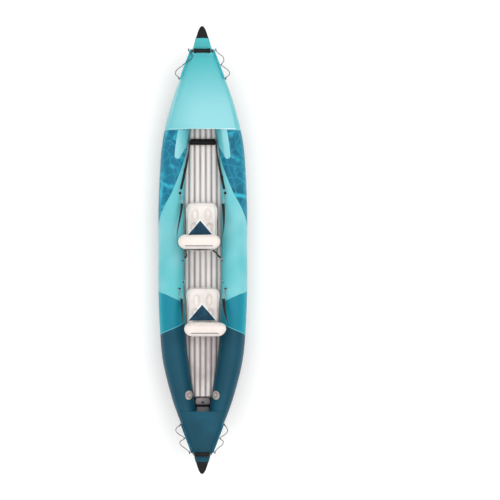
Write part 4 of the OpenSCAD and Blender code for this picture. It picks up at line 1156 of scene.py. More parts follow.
@dataclass
class Decks(Assembly):
    """Spray decks, their hems and arms, and the patches under the handles."""

    drop: float = 0.027
    camber: float = 0.008
    bow_edge: float = 1.12
    stern_edge: float = 1.49
    arm_len: float = 0.275
    seam_at: float = 1.905
    seam_w: float = 0.042

    def deck_point(self, x: float, f: float, out: float, start: Optional[float] = None) -> Point:
        """A point of a deck.

        Args:
            x: Distance from the middle of the hull.
            f: Place across, from -1 at starboard to 1 at port.
            out: Height over the tubes.
            start: Angle where the sheet begins, or None for a deck's own edge.

        Returns:
            The point, at the bow.
        """
        b = LINES.tube_b(x)
        edge = start if start is not None else math.degrees(math.asin(max(b - self.drop, 0) / b))
        side = math.copysign(1, f)
        f = abs(f)
        if f > 0.5:
            p = LINES.on_tube(x, lerp(90, edge, (f - 0.5) / 0.5), out)
            return (x, side * p[1], p[2])
        p = LINES.on_tube(x, 90, out)
        g = f / 0.5
        return (x, side * p[1] * g, p[2] + self.camber * (1 - g * g))

    def build(self) -> None:
        """Makes the decks."""
        self._deck(End.BOW, self.bow_edge, "bow_deck_cover", self.finishes.bow, "bow_deck", "bow_fabric")
        self._deck(End.STERN, self.stern_edge, "stern_deck_cover", self.finishes.stern, "stern_deck",
                   "stern_fabric")
        self._arms()
        for end in End:
            self._patch(end, end.handle_x)

    def _deck(self, end: End, edge: float, name: str, material: bpy.types.Material, node: str,
              slot: str) -> None:
        """One deck with its hem and its end seam."""
        out = SKIN_GAP + SKIN_T / 2

        def place(u: float, v: float) -> Point:
            """A point of the deck."""
            x = lerp(edge, LINES.body_end - 0.0003, u)
            p = self.deck_point(x, 2 * v - 1, out)
            return (end.value * p[0], p[1], p[2])

        piece = shaped_grid(name, 90, 64, place)
        girth = path_length([Vector(place(0, k / 64)) for k in range(65)])
        run = path_length([Vector(place(k / 40, 0.5)) for k in range(41)])
        self.fit(wrap(piece, SKIN_T), material, slot=slot, stands_for=[node])
        self._hem(end, edge, slot, material)
        seam = self._band(end, "deck_end_band", self.seam_at, self.seam_w, SKIN_GAP + SKIN_T * 1.6, 40)
        self.fit(seam, material, slot=slot)

    def _hem(self, end: End, edge: float, slot: str, material: bpy.types.Material) -> None:
        """The turned hem at a deck's open edge: a welt on a doubled band, white at the bow, a pale edge with
        a painted highlight along it.
        """
        band_out = SKIN_GAP + SKIN_T * 1.5
        self.fit(self._band(end, "deck_hem", edge + 0.001, 0.028, band_out, 64), material, slot=slot)
        points = [Vector(self.deck_point(edge + 0.001, k / 48 * 2 - 1, SKIN_GAP + SKIN_T)) for k in range(49)]
        path = [Vector((end.value * p.x, p.y, p.z)) for p in points]
        welt = rope(f"deck_welt_{end.name.lower()}", path, 0.0026, 10)
        # At the bow the welt is painted white, a pale edge with a painted highlight along it; the stern's
        # welt keeps the deck's colour.
        tint = self.finishes.hem if end is End.BOW else self.finishes.stern
        self.fit(welt, tint, slot=slot)

    def _band(
        self, end: End, name: str, start: float, width: float, out: float, across: int
    ) -> bpy.types.Object:
        """A band that runs across a deck from tube to tube."""

        def place(u: float, v: float) -> Point:
            """A point of the band."""
            p = self.deck_point(start + width * u, 2 * v - 1, out)
            return (end.value * p[0], p[1], p[2])

        return wrap(shaped_grid(f"{name}_{end.name.lower()}", 4, across, place), SKIN_T)

    def _arms(self) -> None:
        """The round-ended fingers that carry the bow deck's edge aft."""
        start = self.bow_edge - self.arm_len
        pieces = []
        for side in (1, -1):

            def place(u: float, v: float) -> Point:
                """A point of a finger."""
                x = lerp(start, self.bow_edge + 0.01, u)
                round_off = math.sqrt(max(1 - max(1 - (x - start) / 0.03, 0) ** 2, 0.0))
                angle = 110 + 14 * (2 * v - 1) * max(round_off, 0.03)
                p = LINES.on_tube(x, angle, SKIN_GAP + SKIN_T / 2)
                return (p[0], side * p[1], p[2])

            pieces.append(wrap(shaped_grid("deck_arm", 60, 12, place), SKIN_T))
        self.fit(join(pieces, "deck_arm_pair"), self.finishes.arm, slot="bow_fabric",
                 stands_for=["deck_arms"])

    def _patch(self, end: End, x: float) -> None:
        """The patch under a handle, its corners cut round."""

        def place(u: float, v: float) -> Point:
            """A point of the patch."""
            f = 2 * v - 1
            half = 0.031 * (1 - 0.25 * max(abs(f) - 0.8, 0) / 0.2)
            p = self.deck_point(x - 0.007 + half * (2 * u - 1), f, SKIN_GAP + SKIN_T * 1.5 + 0.001, 35.0)
            return (end.value * p[0], p[1], p[2])

        name = end.name.lower()
        piece = shaped_grid(f"handle_patch_{name}", 10, 48, place)
        tint = self.finishes.patch if end is End.BOW else self.finishes.dark_patch
        self.fit(wrap(piece, SKIN_T), tint, slot="patch_fabric",
                 stands_for=[f"{name}_handle_patch"])


@dataclass
class GrabLines(Assembly):
    """The looped lines on both ends, with their strips and eyes."""

    radius: float = 0.003
    bow_port: tuple = ((1850, 125, 546), (1838, 125, 546), (1818, 112, 560), (1790, 92, 574),
                       (1760, 100, 572), (1734, 140, 552), (1712, 173, 528), (1702, 178, 526),
                       (1682, 212, 516), (1652, 243, 512), (1618, 246, 511), (1600, 226, 511),
                       (1590, 217, 511), (1578, 215, 511))
    bow_starboard: tuple = ((1850, -125, 546), (1838, -125, 546), (1812, -150, 541), (1780, -192, 535),
                            (1745, -198, 530), (1722, -182, 528), (1712, -173, 528), (1702, -178, 526),
                            (1680, -212, 517), (1650, -246, 511), (1616, -248, 510), (1600, -226, 511),
                            (1590, -217, 511), (1578, -215, 511))
    stern_port: tuple = ((-1872, 117, 549), (-1860, 117, 549), (-1834, 150, 543), (-1800, 196, 536),
                         (-1768, 206, 532), (-1748, 174, 531), (-1738, 163, 532), (-1728, 168, 530),
                         (-1702, 212, 524), (-1670, 244, 519), (-1640, 236, 516), (-1620, 206, 515),
                         (-1608, 203, 516))
    stern_starboard: tuple = ((-1872, -117, 549), (-1860, -117, 549), (-1830, -142, 543),
                              (-1796, -184, 536), (-1764, -194, 532), (-1748, -172, 531),
                              (-1738, -163, 532), (-1728, -168, 530), (-1704, -206, 524),
                              (-1674, -232, 519), (-1642, -226, 516), (-1620, -206, 515),
                              (-1608, -203, 516))

    def build(self) -> None:
        """Makes the lines and their fittings."""
        for name, points, node in (
            ("bow_port", self.bow_port, "grab_lines_bow"), ("bow_starboard", self.bow_starboard, ""),
            ("stern_port", self.stern_port, "grab_lines_stern"),
            ("stern_starboard", self.stern_starboard, ""),
        ):
            self._line(name, points, node)
        self.keep("grab_strips", self.finishes.strip, 0.0012, "strip_rubber")
        self.keep("pad_eyes", self.finishes.plastic, 0, "black_plastic", 60)

    def _line(self, name: str, points: tuple, node: str) -> None:
        """One line with a stopper knot at each end."""
        path = smooth_path(millimetres(points), 3)
        knots = []
        for end, inner in ((path[0], path[2]), (path[-1], path[-3])):
            way = (end - inner).normalized().to_track_quat("Z", "Y").to_matrix().to_4x4()
            profile = [(0.0012, -0.006), (0.0046, -0.0052), (0.0062, -0.003), (0.0052, 0.0),
                       (0.0064, 0.003), (0.0046, 0.0055), (0.0012, 0.0062)]
            knots.append(turned("line_knot", profile, Matrix.Translation(end) @ way, 20))
        knot = self.fit(smooth(join(knots, f"line_knots_{name}"), 60), self.finishes.braid, slot="cord")
        line = rope(f"grab_line_{name}", path, self.radius)
        self.fit(line, self.finishes.braid, slot="cord", stands_for=[node] if node else [])
        round(path_length(path), 3)


@dataclass
class Handles(Assembly):
    """The two carry handles: a waisted sleeve that spins on webbing."""

    grip_r: float = 0.0185
    web_w: float = 0.020

    def build(self) -> None:
        """Makes both handles."""
        self._handle(End.BOW, End.BOW.handle_x, 0.152)
        self._handle(End.STERN, End.STERN.handle_x, 0.136)

    def _handle(self, end: End, x: float, length: float) -> None:
        """One handle."""
        name = end.name.lower()
        end_r, bore = self.grip_r + 0.0035, self.grip_r - 0.006
        z = LINES.sheer(x) + 0.008 + SKIN_GAP + SKIN_T + end_r + 0.005
        e = length / 2
        half = [(bore, -e), (end_r - 0.003, -e), (end_r - 0.001, -e + 0.0012), (end_r, -e + 0.004),
                (end_r, -e + 0.016), (end_r - 0.0012, -e + 0.0175), (end_r - 0.0012, -e + 0.0195),
                (lerp(end_r, self.grip_r, 0.3), -e + 0.022)]
        ribs = 9
        middle = []
        for k in range(ribs + 1):
            y = lerp(-e * 0.62, e * 0.62, k / ribs)
            bulge = self.grip_r + 0.0006 * (abs(y) / e)
            middle += [(bulge, y - 0.0030), (bulge - 0.0007, y), (bulge, y + 0.0030)]
        profile = half + middle + [(r, -h) for r, h in reversed(half)] + [(bore, -e)]
        where = Matrix.Translation((end.value * x, 0, z)) @ Matrix.Rotation(math.pi / 2, 4, "X")
        grip = smooth(turned(f"grip_{name}", profile, where, 64, ring=True), 35)
        self.fit(grip, self.finishes.grip, f"{name}_grip", "grip_rubber", [f"{name}_handle_grip"])
        foot = e + 0.006
        foot_z = LINES.top_z(x, foot) + 4 * SKIN_GAP + 2 * SKIN_T
        half_way = [(e - 0.01, z), (e + 0.002, z - 0.003), (foot - 0.001, (z + foot_z) / 2), (foot, foot_z)]
        grip_x = end.value * x
        path = smooth_path([(grip_x, -y, h) for y, h in reversed(half_way)] + [(grip_x, 0, z)]
                           + [(grip_x, y, h) for y, h in half_way], 4)
        web = band(f"handle_webbing_{name}", path, self.web_w, 0.002, Lay(across=(1, 0, 0)))
        self.fit(web, self.finishes.web, slot="webbing", stands_for=[f"{name}_handle_web"])
        feet = []
        for side in (1, -1):
            y = side * (foot + 0.006)
            place = LINES.skin_place(x, y)
            place = Matrix.Scale(end.value, 4, (1, 0, 0)) @ place @ Matrix.Translation((0, 0, 0.0062))
            feet.append(block("handle_foot", (0.024, 0.026, 0.0022), place, 0.0009))
        self.fit(smooth(join(feet, f"handle_feet_{name}"), 40), self.finishes.web, slot="webbing")


@dataclass
class Valves(Assembly):
    """Main valves of the side tubes, with their welded patches."""

    x: float = -1.343
    y: float = 0.125
    cap_r: float = 0.026

    def build(self) -> None:
        """Makes both valves."""
        for side, name in ((1, "port"), (-1, "starboard")):
            place = LINES.skin_place(self.x, side * self.y)
            self._patch(side, name)
            self._cap(place, name)
            self.keep(f"valve_body_{name}", self.finishes.valve, 0.0006, "valve_plastic")
            self.keep(f"valve_pin_{name}", self.finishes.valve_light, 0.0004, "pin_plastic")
            self.keep(f"valve_spring_{name}", self.finishes.steel, 0, "steel", 60)

    def _patch(self, side: int, name: str) -> None:
        """The soft grooved flange that welds the valve into the tube."""

        def place(u: float, v: float) -> Point:
            """A point of the patch, following the tube."""
            r = lerp(0.027, 0.041, u)
            x = self.x + r * math.cos(TAU * v)
            y = self.y + r * math.sin(TAU * v) * 0.8
            m = LINES.skin_place(x, y)
            lift = 0.0008 + 0.0024 * (1 - ease((u - 0.8) / 0.2)) - 0.0008 * (math.sin(u * 14) > 0.3)
            p = m @ Vector((0, 0, lift))
            return (p.x, side * p.y, p.z)

        piece = shaped_grid(f"valve_flange_{name}", 16, 72, place, True)
        self.fit(smooth(piece, 50), self.finishes.valve, slot="valve_plastic")

    def _cap(self, place: Matrix, name: str) -> None:
        """The screw-down cap: stepped rings round a bright centre."""
        r = self.cap_r
        base = 0.0036
        rings = [(0.0174, -0.002), (0.0174, base), (r, base), (r, base + 0.0046), (r - 0.0012, base + 0.006),
                 (r - 0.003, base + 0.0066), (r - 0.0044, base + 0.0062), (r - 0.005, base + 0.0045),
                 (r - 0.0075, base + 0.0045), (r - 0.0085, base + 0.006), (r - 0.0115, base + 0.0063),
                 (r - 0.0125, base + 0.005), (r - 0.0155, base + 0.005), (r - 0.0165, base + 0.0066),
                 (r - 0.021, base + 0.0069), (0.002, base + 0.0069)]
        body = turned(f"valve_cap_{name}_body", rings, place, 72)
        tongue = block("cap_tongue", (0.008, 0.014, 0.0036),
                       place @ Matrix.Translation((0, 0.0285, base + 0.003)), 0.0008)
        cheek = turned("cap_knuckle", [(0.00125, -0.004), (0.0024, -0.004), (0.0024, 0.004),
                                       (0.00125, 0.004), (0.00125, -0.004)],
                       place @ Matrix.Translation((0, 0.035, 0.0057)) @ Matrix.Rotation(math.pi / 2, 4, "Y"),
                       32, ring=True)
        cap = smooth(join([body, tongue, cheek], f"valve_lid_{name}"), 32)
        self.fit(cap, self.finishes.valve_cap, f"valve_cap_{name}", "cap_plastic", [f"valve_cap_{name}"])
        dot = turned("lid_centre", [(0.0066, base + 0.0067), (0.0066, base + 0.0074), (0.0058, base + 0.0079),
                                    (0.0016, base + 0.0081)], place, 40)
        dot.name = f"valve_lid_centre_{name}"
        self.fit(smooth(dot, 40), self.finishes.valve_light, f"valve_cap_{name}", "pin_plastic")


@dataclass
class Floor(Assembly):
    """The air mat with its ridges and its tail."""

    thick: float = 0.094
    half_w: float = 0.186
    rear: float = -1.38
    front: float = 1.45
    pitch: float = 0.053
    valley: float = 0.019
    flap_z: float = 0.3145

    def low(self, x: float) -> float:
        """Underside of the mat."""
        return LINES.keel(x) + SKIN_T + 0.003

    def width(self, x: float) -> float:
        """Half width of the mat between the tubes."""
        return min(self.half_w, LINES.inner_y(x, self.low(x) + self.thick) - 0.003)

    def form(self, x: float, v: float) -> Point:
        """A point of the mat: v runs across the top and back underneath."""
        top = v < 0.6
        s = (v / 0.6 if top else 1 - (v - 0.6) / 0.4) * 2 - 1
        w = self.width(x)
        y = w * math.sin(math.pi / 2 * s)
        end = min(x - self.rear, self.front - x)
        close = math.sqrt(max(1 - max(1 - end / 0.03, 0) ** 2, 0.0004))
        q = abs(y) / w
        full = (1 - q**7) ** 0.5 if q < 1 else 0.0
        half = self.thick / 2 * full * close
        lobe = 1 - abs(math.cos(math.pi * y / self.pitch)) ** 0.6
        dent = self.valley * lobe * ease(end / 0.05) * full * (1.0 if top else 0.5)
        middle = self.low(x) + self.thick / 2
        return (x, y, middle + (half - dent if top else -(half - dent)))

    def build(self) -> None:
        """Makes the floor's pieces."""

        def place(u: float, v: float) -> Point:
            """A point of the mat."""
            return self.form(lerp(self.rear, self.front, u), v % 1.0)

        mat = shaped_grid("air_mat", 150, 200, place, True, True)
        self.fit(smooth(mat, 60), self.finishes.mat, slot="mat_fabric", stands_for=["floor_mat"])
        self._flap()
        self._tail_end()
        self._strap()
        self.keep("floor_plug", self.finishes.plastic, 0.0012, "black_plastic")

    def _flap(self) -> None:
        """The mat's flat tail with a round hole for its plug."""
        x = self.rear - 0.04

        def place(u: float, v: float) -> Point:
            """A point between the plug's hole and the flap's edge."""
            a = TAU * v
            c, s = math.cos(a), math.sin(a)
            outer_x = 0.0195 * power(c, 0.35) if c < 0 else 0.039 * power(c, 0.35)
            outer = (outer_x, 0.0655 * power(s, 0.35))
            inner = (0.0075 * c, 0.0075 * s)
            lift = 0.0012 * math.sin(math.pi * u)
            return (x + lerp(inner[0], outer[0], u), lerp(inner[1], outer[1], u), self.flap_z + 0.001 + lift)

        piece = shaped_grid("mat_tail", 10, 96, place, True)
        self.fit(wrap(piece, 0.0024), self.finishes.flap, slot="flap_fabric", stands_for=["floor_flap"])

    def _tail_end(self) -> None:
        """The end of the mat's cover, which runs on under the stern deck."""

        def place(u: float, v: float) -> Point:
            """A point of the cover's end."""
            x = lerp(-1.463, -1.56, u)
            w = min(0.056, LINES.inner_y(x, self.flap_z) - 0.004)
            f = 2 * v - 1
            return (x, w * f, self.flap_z + 0.004 + 0.012 * u - 0.006 * f * f)

        piece = shaped_grid("mat_tail_end", 12, 20, place)
        self.fit(wrap(piece, 0.0024), self.finishes.flap, slot="flap_fabric")

    def _strap(self) -> None:
        """The webbing that holds the tail down."""
        low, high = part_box("floor_strap")
        x = (low.x + high.x) / 2
        z = (low.z + high.z) / 2
        path = smooth_path([(x, low.y, z - 0.001), (x, low.y / 2, z), (x, 0, z + 0.0005), (x, high.y / 2, z),
                            (x, high.y, z - 0.001)], 8)
        piece = band("tail_webbing", path, high.x - low.x, 0.002, Lay(across=(1, 0, 0)))
        self.fit(piece, self.finishes.web, slot="webbing", stands_for=["floor_strap"])


@dataclass
class Rigging(Assembly):
    """D rings with their tabs and patches, snap hooks and their gates."""

    places: tuple = ((0.520, 0.212, -1), (0.536, 0.212, 1), (-0.362, 0.216, -1), (-0.095, 0.186, 1),
                     (-0.296, 0.184, 1))

    def build(self) -> None:
        """Makes the rigging."""
        self._patches()
        self.keep("ring_tabs", self.finishes.web, 0.0008, "webbing")
        self.keep("d_rings", self.finishes.steel, 0, "steel", 60)
        self.keep("snap_hooks", self.finishes.steel, 0.0007, "steel", 40)
        self.keep("hinge_pins", self.finishes.steel, 0.0003, "steel")
        for name in ("front_port", "front_starboard", "rear_port", "rear_starboard"):
            self.keep(f"gate_{name}", self.finishes.steel, 0.0004, "steel")

    def _patches(self) -> None:
        """The round-cornered patch welded under each ring's tab."""
        for side, name in ((1, "port"), (-1, "starboard")):
            pieces = []
            for x, y, _ in self.places[:1] + self.places[2:]:

                def place(u: float, v: float) -> Point:
                    """A point of a patch, following the tube."""
                    r = lerp(0.002, 0.024, u)
                    a = TAU * v
                    px = x + (0.008 if y == 0.212 else 0.0) + r * 1.15 * power(math.cos(a), 0.6)
                    py = y + r * 0.8 * power(math.sin(a), 0.6)
                    m = LINES.skin_place(px, py)
                    p = m @ Vector((0, 0, 0.0005 + 0.0004 * (1 - ease((u - 0.8) / 0.2))))
                    return (p.x, side * p.y, p.z)

                patch = shaped_grid("ring_patch", 6, 48, place, True)
                pieces.append(smooth(patch, 60))
            self.fit(join(pieces, f"ring_patches_{name}"), self.finishes.patch, slot="patch_fabric")


@dataclass
class Seat(Assembly):
    """One seat: an air-filled base and a backrest that tilts on it."""

    name: str = "front"
    front_x: float = 0.447
    base_shift: float = 0.012
    rest_shift: float = 0.026
    length: float = 0.46
    width: float = 0.344
    thick: float = 0.07
    back_set: float = 0.365
    back_h: float = 0.38
    neck_r: float = 0.056
    head_r: float = 0.075
    neck_w: float = 0.29
    head_w: float = 0.4
    waist_at: float = 0.12
    brow_at: float = 0.245
    # Each spot: how far aft of the front edge, how far off the middle, and its two radii.
    weld_spots: tuple = ((0.118, 0.060, 0.052, 0.026), (0.235, 0.072, 0.040, 0.024),
                         (0.335, 0.060, 0.030, 0.016))
    corner: float = 0.083
    head_from: float = 0.095
    head_at: float = 0.16
    front_flat: float = 0.05
    panel_shift: float = 0.012
    panel_tail: float = 0.125

    @property
    def base_z(self) -> float:
        """Underside of the base."""
        x = self.front_x - self.length
        return LINES.keel(x) + SKIN_T + 0.003 + 0.094 + 0.001

    @property
    def pivot_z(self) -> float:
        """Height of the backrest's pivot."""
        return self.base_z + self.thick + self.neck_r + 0.0003

    @property
    def rest_x(self) -> float:
        """Place of the backrest's middle."""
        return self.front_x - self.back_set

    def half(self, s: float) -> float:
        """Half width of the base at a distance from its front edge."""
        q = min(s, self.length - s)
        r = self.corner
        cut = r - math.sqrt(max(r * r - (r - q) ** 2, 0)) if q < r else 0.0
        room = LINES.inner_y(self.front_x - s, self.base_z + self.thick) - abs(self.base_shift) - 0.003
        return max(min(self.width / 2, room) - cut, 0.004)

    def build(self) -> None:
        """Makes the seat's pieces."""
        cloth = SeatCloth(f"seat_cloth_{self.name}", self.base_shift + self.panel_shift, self.panel_tail,
                          0.128, 0.150).make()
        self._base(cloth)
        self._backrest()
        self._web()
        if self.name == "front":
            self._pocket()

    def _base(self, cloth: bpy.types.Material) -> None:
        """The base cushion: inflated, with four weld spots and a welded rim."""
        slim = 0.011
        mid = self.base_z + self.thick / 2

        def place(u: float, v: float) -> Point:
            """A point of the uninflated base."""
            s = lerp(0.004, self.length - 0.004, 0.5 - 0.5 * math.cos(math.pi * u))
            a = TAU * v
            w = self.half(s) - 0.004
            edge = min(s, self.length - s)
            t = (self.thick / 2 - slim) * ease(0.25 + edge / 0.03)
            return (self.front_x - s, self.base_shift + w * power(math.cos(a), 0.32),
                    mid + t * power(math.sin(a), 0.55))

        piece = shaped_grid(f"seat_cushion_{self.name}", 60, 72, place, True, True)
        x0 = self.front_x

        def weld(p: Vector) -> float:
            """How firmly the two faces are welded at a place, 0 to 1."""
            grip = 0.0
            for sx, sy, rx, ry in self.weld_spots:
                d = math.hypot((p.x - (x0 - sx)) / rx, (abs(p.y - self.base_shift) - sy) / ry)
                grip = max(grip, 1 - ease((d - 0.55) / 0.75))
            return grip

        inflate(piece, weld, Swell(cap=0.0095, dip=0.012, middle=mid))
        channel(piece, self._rim_distance, 0.026, 0.008, 0.0045, mid + 0.01)
        for vertex in piece.data.vertices:
            if vertex.co.z > mid + 0.01:
                vertex.co.z -= 0.011 * weld(vertex.co)
        self.fit(smooth(piece, 80), cloth, slot="seat_fabric", stands_for=[f"seat_base_{self.name}"])
        self._piping(mid)
        if self.name == "front":
            self.keep("base_plugs", self.finishes.plug, 0.0008, "seat_valve")
        self.keep(f"rest_plug_{self.name}", self.finishes.plug, 0.0008, "seat_valve")

    def _rim_distance(self, p: Vector) -> float:
        """Distance of a place from the base's edge."""
        s = min(max(self.front_x - p.x, 0), self.length)
        return min(s, self.length - s, self.half(s) - abs(p.y - self.base_shift))

    def _piping(self, z: float) -> None:
        """The welded seam flange round the base."""
        n = 48
        side = [0.5 - 0.5 * math.cos(math.pi * k / n) for k in range(n + 1)]
        port = [(self.front_x - self.length * q, self.base_shift + self.half(self.length * q) - 0.001, z)
                for q in side]
        star = [(x, 2 * self.base_shift - y, z) for x, y, z in reversed(port)]
        loop = [Vector(p) for p in port + star[1:-1]]

        def place(u: float, v: float) -> Point:
            """A point of the flange."""
            i = round(u * len(loop)) % len(loop)
            t = (loop[(i + 1) % len(loop)] - loop[i - 1]).normalized()
            out = t.cross(Vector((0, 0, -1)))
            a = TAU * v
            p = loop[i] + out * (0.0015 * math.cos(a)) + Vector((0, 0, 0.0022 * math.sin(a)))
            return tuple(p)

        piece = shaped_grid(f"seat_piping_{self.name}", len(loop), 8, place, True)
        self.fit(smooth(piece, 60), self.finishes.plug, slot="seat_fabric")

    def _rest_form(self, h: float, a: float, inset: float) -> Point:
        """A point of the backrest at a height over its pivot."""
        grow = ease((h - self.head_from) / (self.head_at - self.head_from))
        t = lerp(self.neck_r, self.head_r, grow)
        if h < 0:
            t = math.sqrt(max(self.neck_r**2 - h * h, 0))
        top = h - self.back_h + self.head_r
        if top > 0:
            t = math.sqrt(max(self.head_r**2 - top**2, 0))
        w = lerp(self.neck_w, self.head_w, grow) / 2
        w -= (self.neck_r - t) * 0.4 if h < 0 else 0
        w -= (self.head_r - t) * 0.7 if top > 0 else 0
        t, w = max(t - inset, 0.002), max(w - inset, 0.004)
        y = self.rest_shift * (0.5 + 0.5 * grow)
        side = 1 if math.sin(a) >= 0 else -1
        flat = w - t
        thin = 1 - self.front_flat * grow * max(math.cos(a), 0)
        return (self.rest_x + t * math.cos(a) * thin, y + side * flat + t * math.sin(a), self.pivot_z + h)

    def _backrest(self) -> None:
        """The backrest: a thick head over a slimmer neck, inflated."""
        inset = 0.008

        def place(u: float, v: float) -> Point:
            """A point of the uninflated backrest."""
            h = lerp(-self.neck_r + 0.001 + inset, self.back_h - 0.001 - inset,
                     0.5 - 0.5 * math.cos(math.pi * u))
            return self._rest_form(h, TAU * v, inset)

        piece = shaped_grid(f"backrest_cushion_{self.name}", 60, 48, place, True, True)

        def weld(p: Vector) -> float:
            """Welded lines across the waist and the head."""
            h = p.z - self.pivot_z
            y = abs(p.y - self.rest_shift)
            waist = (1 - ease(abs(h - self.waist_at) / 0.014)) * (1 if y < self.neck_w / 2 - 0.03 else 0)
            brow = (1 - ease(abs(h - self.brow_at) / 0.009)) * (1 if y < 0.11 and p.x > self.rest_x else 0)
            foot = 1.0 if h < 0.01 else 0.0
            return max(waist, brow, foot)

        inflate(piece, weld, Swell(cap=0.0075, dip=0.0, middle=None))
        self.fit(smooth(piece, 80), RestCloth(f"rest_cloth_{self.name}", self.rest_x, self.rest_shift,
                                              self.pivot_z + self.head_at).make(),
                 f"backrest_{self.name}", "seat_fabric", [f"backrest_{self.name}"])

    def _web(self) -> None:
        """The cloth webs that hinge the backrest's round foot to its base."""
        w = (self.neck_w - 0.07) / 2
        pieces = []
        for way in (1, -1):
            points = [(math.cos(math.radians(a)), math.sin(math.radians(a))) for a in range(-8, -52, -6)]
            r = self.neck_r + 0.001
            line = [(r * c, r * s) for c, s in points] + [(r * 0.66, -self.neck_r + 0.0005)]

            def place(u: float, v: float) -> Point:
                """A point of a web."""
                q = line[round(u * (len(line) - 1))]
                y = self.rest_shift * 0.5 + w * (2 * v - 1)
                return (self.rest_x + way * q[0], y, self.pivot_z + q[1])

            pieces.append(wrap(shaped_grid("hinge_cloth", len(line) - 1, 20, place), 0.0012))
        web = join(pieces, f"hinge_cloth_{self.name}")
        self.fit(web, self.finishes.plug, None, "seat_fabric", [f"hinge_web_{self.name}"])
        self.pivot_z - 0.056
        self.pivot_z - 0.01
        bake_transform(web)

    def _pocket(self) -> None:
        """The pocket on the front backrest's back: a slack sheet with a bound mouth."""
        low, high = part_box("seat_pocket")
        w, h = (high.y - low.y) / 2, high.z - low.z

        def place(u: float, v: float) -> Point:
            """A point of the pocket panel."""
            y = 2 * v - 1
            top = u
            slack = 0.006 * math.sin(math.pi * min(max((y + 1) / 2, 0), 1)) * ease(top * 1.1)
            narrow = 1 - 0.12 * (1 - top)
            return (low.x + 0.0012 - slack, (low.y + high.y) / 2 + w * y * narrow, low.z + h * top)

        panel = shaped_grid("seat_pocket_panel", 24, 32, place)
        self.fit(wrap(panel, 0.0014), self.finishes.pocket, "backrest_front", "pocket_fabric",
                 ["seat_pocket"])
        path = [Vector(place(1.0, k / 32)) + Vector((0, 0, 0.001)) for k in range(33)]
        bound = band("pocket_binding", path, 0.010, 0.0026, Lay(90, 90))
        self.fit(bound, self.finishes.web, "backrest_front", "webbing")


@dataclass(frozen=True)
class RestCloth:
    """Backrest fabric: creamy, with a dark band low on its back."""

    name: str
    x: float
    y: float
    head_z: float

    def make(self) -> bpy.types.Material:
        """Builds the material."""
        s = Shader(self.name)
        base = s.mix(s.step(s.noise(6.0), 0.3, 0.7), srgb("#e6dcd6"), srgb("#dfd4ce"))
        aft = s.step(s.x, self.x - 0.045, self.x - 0.05)
        low = s.step(s.z, self.head_z + 0.03, self.head_z + 0.027)
        high = s.step(s.z, self.head_z - 0.06, self.head_z - 0.057)
        wide = s.step(s.math("ABSOLUTE", s.math("SUBTRACT", s.y, self.y)), 0.127, 0.124)
        mask = s.math("MULTIPLY", s.math("MULTIPLY", aft, wide), s.math("MULTIPLY", low, high))
        # The binding of the pocket's mouth shows on the top's aft shoulder.
        off = s.math("ABSOLUTE", s.math("SUBTRACT", s.x, self.x - 0.044))
        top = s.step(s.z, self.head_z + 0.10, self.head_z + 0.11)
        mouth = s.math("MULTIPLY", s.math("MULTIPLY", s.step(off, 0.0038, 0.0030), wide), top)
        mask = s.math("MAXIMUM", mask, mouth)
        colour = s.mix(mask, base, Tone.NAVY.rgba)
        weave = s.bump(s.threads(0.0018), 0.00012, 0.6)
        return s.finish(colour, 0.5, s.bump(s.noise(30, 3), 0.0008, 0.35, weave), Sheen_Weight=0.15)


@dataclass(frozen=True)
class Swell:
    """How a cushion is inflated.

    Attributes:
        cap: The furthest a point may move.
        dip: How far weld spots are drawn in first.
        middle: Height of the cushion's middle, for the dips.
        voxel: Size of the remesh.
        pressure: Air pressure.
        frames: Steps of the simulation.
    """

    cap: float
    dip: float
    middle: Optional[float]
    voxel: float = 0.006
    pressure: float = 4.0
    frames: int = 20


def inflate(piece: bpy.types.Object, weld: Callable[[Vector], float], how: Swell) -> None:
    """Remeshes a slim form and blows it up as cloth, held where it is welded.

    Args:
        piece: The closed starting form.
        weld: How firmly each place is held.
        how: The inflation's settings.
    """
    apply_modifier(piece, "REMESH", mode="VOXEL", voxel_size=how.voxel, use_smooth_shade=True)
    apply_modifier(piece, "SMOOTH", factor=0.6, iterations=4)
    grips = [weld(v.co) for v in piece.data.vertices]
    if how.dip and how.middle is not None:
        for vertex, grip in zip(piece.data.vertices, grips):
            up = vertex.co.z - how.middle
            vertex.co.z -= math.copysign(min(how.dip * grip, abs(up) * 0.8), up)
    rest = [v.co.copy() for v in piece.data.vertices]
    group = piece.vertex_groups.new(name="weld")
    for i, grip in enumerate(grips):
        if grip > 0.02:
            group.add([i], grip, "REPLACE")
    focus(piece)
    bpy.ops.object.modifier_add(type="CLOTH")
    cloth = piece.modifiers[-1]
    cloth.settings.vertex_group_mass = "weld"
    cloth.settings.use_pressure = True
    cloth.settings.uniform_pressure_force = how.pressure
    cloth.settings.effector_weights.gravity = 0.0
    cloth.settings.quality = 5
    cloth.settings.tension_stiffness = 30
    cloth.settings.compression_stiffness = 30
    cloth.point_cache.frame_start = 1
    cloth.point_cache.frame_end = how.frames
    for step in range(1, how.frames + 1):
        bpy.context.scene.frame_set(step)
    blown = piece.evaluated_get(bpy.context.evaluated_depsgraph_get()).data
    moved = [v.co.copy() for v in blown.vertices]
    piece.modifiers.remove(cloth)
    bpy.context.scene.frame_set(1)
    for vertex, start, end in zip(piece.data.vertices, rest, moved):
        way = end - start
        if way.length > how.cap:
            way *= how.cap / way.length
        vertex.co = start + way
    piece.vertex_groups.clear()
    apply_modifier(piece, "SMOOTH", factor=0.4, iterations=2)
    apply_modifier(piece, "SUBSURF", levels=1, render_levels=1)


def channel(piece: bpy.types.Object, distance: Callable[[Vector], float], at: float, width: float,
            depth: float, above: float) -> None:
    """Draws in a welded channel at a distance from a cushion's edge, on its upper face."""
    for vertex in piece.data.vertices:
        if vertex.co.z > above:
            off = abs(distance(vertex.co) - at)
            vertex.co.z -= depth * (1 - ease(off / width))


